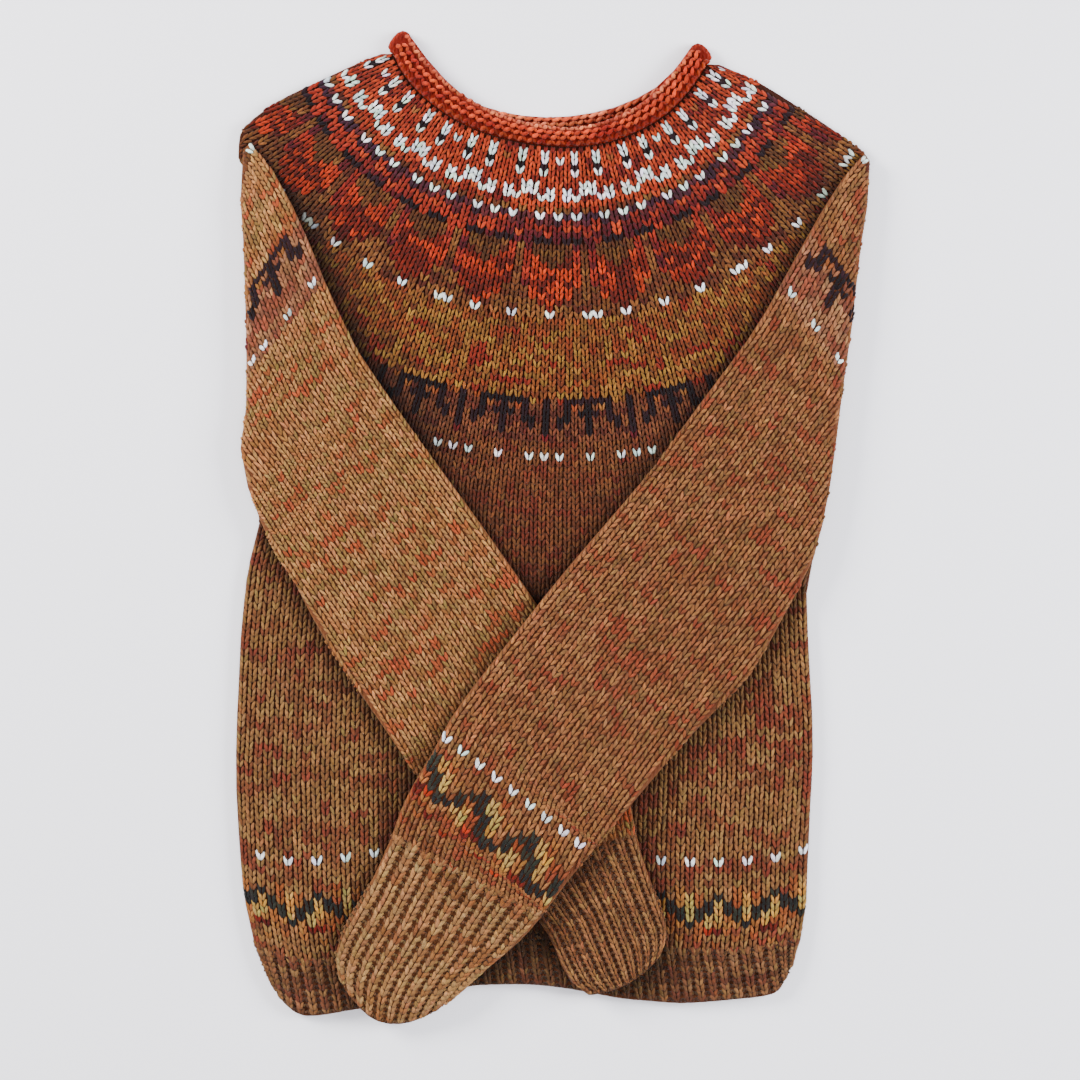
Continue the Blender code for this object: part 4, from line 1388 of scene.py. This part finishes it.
@dataclass
class Yoke:
    """Rows of the yoke, one behind the other at even distances from the neck seam.

    Args:
        bands: Rows that share a count of stitches.
        fan: Directions added past each end of the seam.
        spread: Angle that they cover, in radians.
        triangle: Rows of the plain triangle below the bands.
        settle: Rows over which its wales turn straight down.
    """

    bands: tuple = YOKE_BANDS
    fan: int = 60
    spread: float = 0.5
    triangle: int = 46
    settle: float = 16.0

    def __post_init__(self) -> None:
        """Draws the seam and the directions that leave it."""
        seam = Trace.through(NECK_SEAM, 14)
        points, tangent = seam.at(seam.arc)
        angle = np.unwrap(np.arctan2(-tangent[:, 0], tangent[:, 1]))
        first = np.linspace(angle[0] - self.spread, angle[0], self.fan, endpoint=False)
        last = np.linspace(angle[-1], angle[-1] + self.spread, self.fan + 1)[1:]
        self.angle = np.concatenate([first, angle, last])
        ends = [np.repeat(points[k], self.fan, 0) for k in (slice(0, 1), slice(-1, None))]
        self.base = np.concatenate([ends[0], points, ends[1]])
        self.normal = np.column_stack([np.cos(self.angle), np.sin(self.angle)])
        self.centre = self.fan + len(points) // 2

    def columns(self, band: YokeBand) -> tuple:
        """Even places along the middle row of a band.

        Args:
            band: The band.

        Returns:
            Base points, unit normals and column numbers counted from the centre.
        """
        depth = 0.5 * (band.first + band.last) * COURSE
        arc = arc_lengths(self.base + depth * self.normal)
        arc -= arc[self.centre] + band.shift
        number = np.arange(math.ceil(arc[0] / band.wale), math.floor(arc[-1] / band.wale) + 1)
        place = number * band.wale
        base = np.column_stack([np.interp(place, arc, self.base[:, k]) for k in range(2)])
        angle = np.interp(place, arc, self.angle)
        return base, np.column_stack([np.cos(angle), np.sin(angle)]), number

    def charted(self, rows: np.ndarray, number: np.ndarray, grid: np.ndarray) -> Stitches:
        """Colours a grid of places by the yoke's chart.

        Args:
            rows: Row numbers.
            number: Column numbers.
            grid: Plan points by row and column.

        Returns:
            The stitches.
        """
        return Stitches.on_grid(grid, chart_colours(YOKE_CHART, *numbered(rows, number), "f", SEED))

    def stitches(self) -> list:
        """Every row of the yoke, and the plain triangle below it.

        Returns:
            Batches of stitches.
        """
        out = []
        for band in self.bands:
            rows = np.arange(band.first, band.last)
            base, normal, number = self.columns(band)
            grid = base[None] + ((rows + 0.5) * COURSE)[:, None, None] * normal[None]
            out.append(self.charted(rows, number, grid))
        below = band.last
        place = base + (below * COURSE) * normal
        grid = []
        for k in range(self.triangle):
            turn = ease(np.array(k / self.settle))
            way = normal * (1.0 - turn) + np.array([0.0, -1.0]) * turn
            way = way / np.linalg.norm(way, axis=1)[:, None]
            grid.append(place + 0.5 * COURSE * way)
            place = place + COURSE * way
        out.append(self.charted(np.arange(below, below + self.triangle), number, np.array(grid)))
        return out

    def build(self, bench: Bench) -> None:
        """Knits the rows that show between the sleeves, on the yoke and on the body, with painted
        shade beside the sleeves.

        Args:
            bench: What they are knitted with.
        """
        nodes = (("yoke_front", "wool_yoke"), ("body_front", "wool_body"))
        for index, batch in enumerate(self.stitches()):
            batch = batch.keep(bench.between(batch.centre, -EDGE_MARGIN)).clear_of(bench.arms)
            reaches = YOKE_REACHES if index < len(self.bands) else CREASE_REACHES
            batch = batch.shaded(bench.arms, reaches)
            owner = bench.front.owners(batch.centre)
            for number, (node, slot) in enumerate(nodes):
                mine = batch.keep(owner == number)
                if len(mine.centre):
                    bench.knit(node, f"{node}_stitches_{index + 1}", mine, bench.front, slot)


@dataclass(frozen=True)
class Body:
    """Plain rows of the body below the sleeves, down to the border.

    Args:
        columns: Count of stitches between the sides.
        rows: Count of rows.
        straight: Share of the height, from the top, over which the rows run straight.
        shift: How many stitches the border is moved along.
    """

    columns: int = 60
    rows: int = 85
    straight: float = 0.35
    shift: int = 4

    def stitches(self) -> Stitches:
        """Grid of stitches between the side seams.

        Returns:
            The stitches.
        """
        left = Trace.through(LEFT_SIDE)
        right = Trace.through(RIGHT_SIDE)
        foot = Trace.through(RIB_TOP)
        v = (np.arange(self.rows) + 0.5) / self.rows
        u = (np.arange(self.columns) + 0.5) / self.columns
        across = u[:, None]
        sides = left.share(v)[:, None] * (1 - across) + right.share(v)[:, None] * across
        flat = foot.share(np.zeros(1)) * (1 - across) + foot.share(np.ones(1)) * across
        sag = ease((v - self.straight) / (1.0 - self.straight))
        grid = sides + sag[:, None, None] * (foot.share(u) - flat)[None]
        row, column = numbered(np.arange(self.rows) - self.rows, np.arange(self.columns))
        row -= np.where(column < self.columns // 2, *BORDER_DROP)
        colour = chart_colours(BODY_BORDER, row, column + self.shift, "b", SEED + 7)
        return Stitches.on_grid(grid, colour)

    def build(self, bench: Bench) -> None:
        """Knits the rows that show below and beside the sleeves, with painted shade beside the
        sleeves.

        Args:
            bench: What they are knitted with.
        """
        batch = self.stitches()
        above = bench.between(batch.centre, 0.0) & (batch.centre[:, 1] > TRIANGLE_FOOT)
        batch = batch.keep(~above).clear_of(bench.arms).shaded(bench.arms)
        bench.knit("body_front", "body_front_stitches", batch, bench.front, "wool_body")


@dataclass(frozen=True)
class Sleeve:
    """Rows of one sleeve, laid out along its inner edge.

    Args:
        side: Which sleeve it is.
        slot: Material slot of the record.
        edge: Inner edge, in mm.
        wales: Width of a stitch at the shoulder and at the cuff, in metres.
        stations: Rows of row number, arc length in mm and slant of the row in degrees.
        plain: Yarn of the plain part.
        seed: Number that fixes the heather.
        lift: How many rows the border sits higher than its chart.
        columns: First column, and the one after the last.
    """

    side: Side
    slot: str
    edge: tuple
    wales: tuple
    stations: tuple
    plain: str
    seed: int
    lift: int = 0
    columns: tuple = (-1, 36)

    def stitches(self) -> Stitches:
        """Grid of stitches over the whole sleeve.

        Returns:
            The stitches.
        """
        trace = Trace.through(self.edge, 16)
        table = np.array(self.stations, float)
        rows = np.arange(int(table[0, 0]), int(table[-1, 0]))
        columns = np.arange(*self.columns)
        arc = np.interp(rows + 0.5, table[:, 0], table[:, 1]) / 1000.0
        slant = np.radians(np.interp(rows + 0.5, table[:, 0], table[:, 2]))
        share = (arc - arc[0]) / (arc[-1] - arc[0])
        wale = self.wales[0] + (self.wales[1] - self.wales[0]) * ease(share)
        offset = (columns[None] + 0.5) * wale[:, None]
        points, tangent = trace.at(arc)
        normal = np.stack([-tangent[:, 1], tangent[:, 0]], axis=-1) * self.side.sign
        way = normal + np.tan(slant)[:, None] * tangent
        grid = points[:, None] + offset[..., None] * way[:, None]
        row, column = numbered(rows, columns)
        end = rows[-1] + 1 - self.lift
        upper = chart_colours(SHOULDER_CHART, row + SHOULDER_ROW, column, self.plain, self.seed)
        lower = chart_colours(SLEEVE_BORDER, row - end, column, self.plain, self.seed)
        colour = np.where((row > rows[-1] - BORDER_REACH)[:, None], lower, upper)
        # painted highlight and shade along the inner edge
        return Stitches.on_grid(grid, colour * self.fold(column)[:, None])

    def fold(self, column: np.ndarray) -> np.ndarray:
        """Painted highlight on the rounded inner edge and on a column beside it, and painted shade in
        the shallow furrow next to that.

        Args:
            column: Column of each stitch.

        Returns:
            Factors on the colour.
        """
        painted_ridge_highlight, crest, furrow = 0.16, 0.14, 0.10
        return 1.0 + painted_ridge_highlight * (column <= 0) + crest * (column == 2) - furrow * (column == 3)

    def build(self, bench: Bench) -> None:
        """Knits the sleeve, the left one only where the right one doesn't hide it, and with painted
        shade beside it.

        Args:
            bench: What it is knitted with.
        """
        arm = bench.arm[self.side]
        node = f"{self.side.value}_sleeve"
        batch = self.stitches()
        if self.side is Side.LEFT:
            above = bench.arm[Side.RIGHT]
            batch = batch.clear_of(above).shaded(above)
        batch = batch.keep(arm.owners(batch.centre) == 0)
        bench.knit(node, node + "_stitches", batch, arm, self.slot)


@dataclass(frozen=True)
class Rib:
    """Ribbing between two edges, knit columns on its crests and purl bumps between.

    Args:
        ribs: Count of knit columns.
        rows: Count of rows.
        yarn: Its yarn.
        seed: Number that fixes the heather.
        furrow: Painted shade on the purl bumps in the furrows, as a factor on their colour.
    """

    ribs: int
    rows: int
    yarn: str
    seed: int
    furrow: float = 0.5

    def places(self, u: np.ndarray, v: np.ndarray) -> np.ndarray:
        """Plan of the ribbing, which each kind lays out in its own way.

        Args:
            u: Shares across.
            v: Shares along.

        Returns:
            Plan points by row and column.
        """
        raise NotImplementedError

    def stitches(self) -> list:
        """Knit and purl stitches.

        Returns:
            Two batches.
        """
        v = (np.arange(self.rows + 1) - 0.5) / self.rows
        out = []
        crest = (Kind.RIB, 0.5, 1.0, 0.74)
        # the purl bumps between the crests get painted shade
        between = (Kind.PURL, 0.0, self.furrow, 0.44)
        for kind, shift, shade, width in (crest, between):
            grid = self.places((np.arange(self.ribs) + shift) / self.ribs, v)
            row, column = numbered(np.arange(self.rows + 1), np.arange(self.ribs))
            colour = YARNS[self.yarn].spin(row * 1.0, column * 2.0, self.seed)
            batch = Stitches.on_grid(grid, colour * shade, kind)
            out.append(replace(batch, across=batch.across * width))
        return out


@dataclass(frozen=True)
class Hem(Rib):
    """Ribbed hem of the body."""

    def places(self, u: np.ndarray, v: np.ndarray) -> np.ndarray:
        """Plan of the hem ribbing.

        Args:
            u: Shares across.
            v: Shares down.

        Returns:
            Plan points by row and column.
        """
        top = Trace.through(RIB_TOP).share(u)
        foot = Trace.through(HEM).share(u)
        return top[None] * (1 - v)[:, None, None] + foot[None] * v[:, None, None]

    def build(self, bench: Bench) -> None:
        """Knits the hem where the sleeves don't hide it, with painted shade beside them.

        Args:
            bench: What it is knitted with.
        """
        for batch in self.stitches():
            batch = batch.clear_of(bench.arms).shaded(bench.arms, HEM_REACHES)
            bench.knit("hem_rib_front", f"hem_{batch.kind.value}", batch, bench.front, "wool_rib")


@dataclass(frozen=True)
class Cuff(Rib):
    """Ribbed cuff of a sleeve.

    Args:
        side: Which sleeve it belongs to.
        slot: Material slot of the record.
        stations: Top edge x, y, outer edge x, y and bow towards the mouth, in mm.
    """

    side: Side = Side.LEFT
    slot: str = "wool_rib"
    stations: tuple = LEFT_CUFF

    def places(self, u: np.ndarray, v: np.ndarray) -> np.ndarray:
        """Plan of the cuff.

        Args:
            u: Shares across.
            v: Shares along.

        Returns:
            Plan points by row and column.
        """
        a = Trace.through([r[:2] for r in self.stations], 5).share(v)
        b = Trace.through([r[2:4] for r in self.stations], 5).share(v)
        bows = np.array([r[4] for r in self.stations]) / 1000.0
        bow = np.interp(v, np.linspace(0, 1, len(bows)), bows)
        span = b - a
        size = np.linalg.norm(span, axis=1)[:, None]
        side = np.where(span[:, :1] < 0.0, 1.0, -1.0)
        lean = side * np.column_stack([-span[:, 1], span[:, 0]]) / size
        arch = 4.0 * u * (1.0 - u)
        return (
            a[:, None] * (1 - u)[None, :, None]
            + b[:, None] * u[None, :, None]
            + (bow[:, None] * arch[None])[..., None] * lean[:, None]
        )

    def build(self, bench: Bench) -> None:
        """Knits the cuff, the left one with painted shade beside the right sleeve.

        Args:
            bench: What it is knitted with.
        """
        node = f"{self.side.value}_cuff"
        for batch in self.stitches():
            if self.side is Side.LEFT:
                batch = batch.shaded(bench.arm[Side.RIGHT])
            bench.knit(node, f"{node}_{batch.kind.value}", batch, bench.arm[self.side], self.slot)


@dataclass(frozen=True)
class NeckRows:
    """Rows of purl bumps between a neck seam and the free edge above it.

    Args:
        seam: The seam, in mm.
        edge: The free edge, in mm.
        rows: Count of rows.
        yarn: Yarn of all rows but the last.
        seed: Number that fixes the heather.
    """

    seam: tuple
    edge: tuple
    rows: int
    yarn: str
    seed: int

    def stitches(self) -> Stitches:
        """The bumps, shifted by half a bump from row to row, with a painted highlight on the top row
        and painted shade on the two rows at the seam.

        Returns:
            The stitches.
        """
        low = Trace.through(self.seam, 9)
        high = Trace.through(self.edge, 9)
        count = int(low.arc[-1] / BUMP_WIDTH)
        u = (np.arange(count) + 0.5) / count
        v = (np.arange(self.rows) + 0.4) / self.rows
        row, column = numbered(np.arange(self.rows), np.arange(count))
        place = u[column] + 0.25 * (1 - 2 * (row % 2)) / count
        up = v[row][:, None]
        grid = (low.share(place) * (1 - up) + high.share(place) * up).reshape(self.rows, count, 2)
        most, last = (YARNS[y].spin(row * 1.0, column * 1.0, self.seed) for y in (self.yarn, "v"))
        # the top row takes v, lighter than q: a painted highlight on the roll's edge
        colour = np.where(row[:, None] == self.rows - 1, last, most)
        # painted shade on the two rows at the seam
        colour = colour * np.interp(row, (0, 1, 2), (0.55, 0.85, 1.0))[:, None]
        return Stitches.on_grid(grid, colour, Kind.ROLL)


@dataclass(frozen=True)
class Neckband:
    """Rolled neckband that shows the purl side of its rows.

    Args:
        front: Rows on the roll.
        back: Rows on the back band, in v, whose lightness is a painted highlight.
    """

    front: NeckRows = NeckRows(NECK_SEAM, NECK_EDGE, 4, "q", SEED + 3)
    back: NeckRows = NeckRows(BACK_SEAM, BACK_EDGE, 3, "v", SEED + 5)

    def build(self, bench: Bench) -> None:
        """Knits the roll, and the back band where it lies low enough to pass under it.

        Args:
            bench: What it is knitted with.
        """
        band = Drape("neckband")
        bench.knit("neckband", "neck_roll", self.front.stitches(), band, "wool_neck")
        back = self.back.stitches()
        heights, _ = band.look(back.centre)
        bench.knit("neckband", "neck_back", back.keep(heights < BACK_BAND_TOP), band, "wool_neck")


@dataclass(frozen=True)
class Lamp:
    """One soft light that faces the sweater.

    Args:
        name: Name of the light.
        place: Where it hangs.
        size: Side of the square, in metres.
        power: Watts.
        colour: Linear colour.
    """

    name: str
    place: tuple
    size: float
    power: float
    colour: tuple

    def build(self) -> None:
        """Hangs the light."""
        data = bpy.data.lights.new(self.name, "AREA")
        data.shape = "SQUARE"
        data.size = self.size
        data.energy = self.power
        data.color = self.colour
        lamp = add_object(self.name, data)
        lamp.location = self.place
        lamp.rotation_euler = (-Vector(self.place)).to_track_quat("-Z", "Y").to_euler()


@dataclass(frozen=True)
class Stage:
    """Floor, lights and camera.

    Args:
        paper: Display colour of the floor.
        glow: Linear colour of the room's light.
        strength: Its strength.
        lens: Focal length of the camera, in mm.
        sensor: Width of its sensor, in mm.
        rise: Height of the sweater's middle above the floor, in metres.
        lamps: The lights.
    """

    paper: tuple = (238, 237, 243)
    glow: tuple = (0.92, 0.94, 1.0, 1.0)
    strength: float = 0.80
    lens: float = 85.0
    sensor: float = 36.0
    rise: float = 0.008
    lamps: tuple = (
        Lamp("key", (-1.8, 1.0, 1.05), 0.9, 130.0, (1.0, 0.985, 0.96)),
        Lamp("fill", (1.8, 0.3, 1.05), 1.0, 92.0, (0.97, 0.98, 1.0)),
        Lamp("top", (0.0, -0.6, 2.4), 1.6, 40.0, (1.0, 1.0, 1.0)),
    )

    def build(self) -> None:
        """Sets up the studio round the sweater."""
        self.floor()
        for lamp in self.lamps:
            lamp.build()
        world = bpy.data.worlds.new("studio")
        world.use_nodes = True
        background = world.node_tree.nodes["Background"]
        background.inputs["Color"].default_value = self.glow
        background.inputs["Strength"].default_value = self.strength
        bpy.context.scene.world = world
        self.camera()

    def floor(self) -> None:
        """Lays the sheet of paper under the sweater."""
        bm = bmesh.new()
        bmesh.ops.create_grid(bm, x_segments=2, y_segments=2, size=3.0)
        mesh = bpy.data.meshes.new("floor")
        bm.to_mesh(mesh)
        bm.free()
        floor = add_object("floor", mesh)
        material, shader = new_material("paper", 0.9, 0.1)
        shader.inputs["Base Color"].default_value = (*linear(self.paper), 1.0)
        floor.data.materials.append(material)

    def camera(self) -> None:
        """Puts the camera straight above, as in the photograph."""
        data = bpy.data.cameras.new("camera")
        data.lens = self.lens
        data.sensor_width = self.sensor
        camera = add_object("camera", data)
        height = PHOTO_WIDTH * data.lens / data.sensor_width + self.rise
        camera.location = (*PHOTO_CENTRE, height)
        bpy.context.scene.camera = camera


PARTS = (
    Yoke(),
    Body(),
    Hem(44, 8, "h", SEED + 20),
    Sleeve(
        Side.LEFT, "wool_sleeve_dark", LEFT_TOP_EDGE, (0.0058, 0.0065), LEFT_ROWS, "l", SEED + 30, 3
    ),
    Sleeve(
        Side.RIGHT, "wool_sleeve", RIGHT_TOP_EDGE, (0.0062, 0.0073), RIGHT_ROWS, "s", SEED + 40
    ),
    Cuff(11, 22, "a", SEED + 50),
    Cuff(11, 22, "c", SEED + 50, 0.64, Side.RIGHT, "wool_cuff", RIGHT_CUFF),
    Neckband(),
)


def main() -> None:
    """Builds the stitches, the walls and the studio in order."""
    logging.basicConfig(level=logging.INFO, format="%(message)s")
    bench = Bench()
    for part in PARTS:
        part.build(bench)
    for shell in SHELLS:
        wall = shell.build(bench.pieces[shell.node])
        LOG.info("%s: %d faces", wall.name, len(wall.data.polygons))
    Stage().build()


if __name__ == "__main__":
    main()
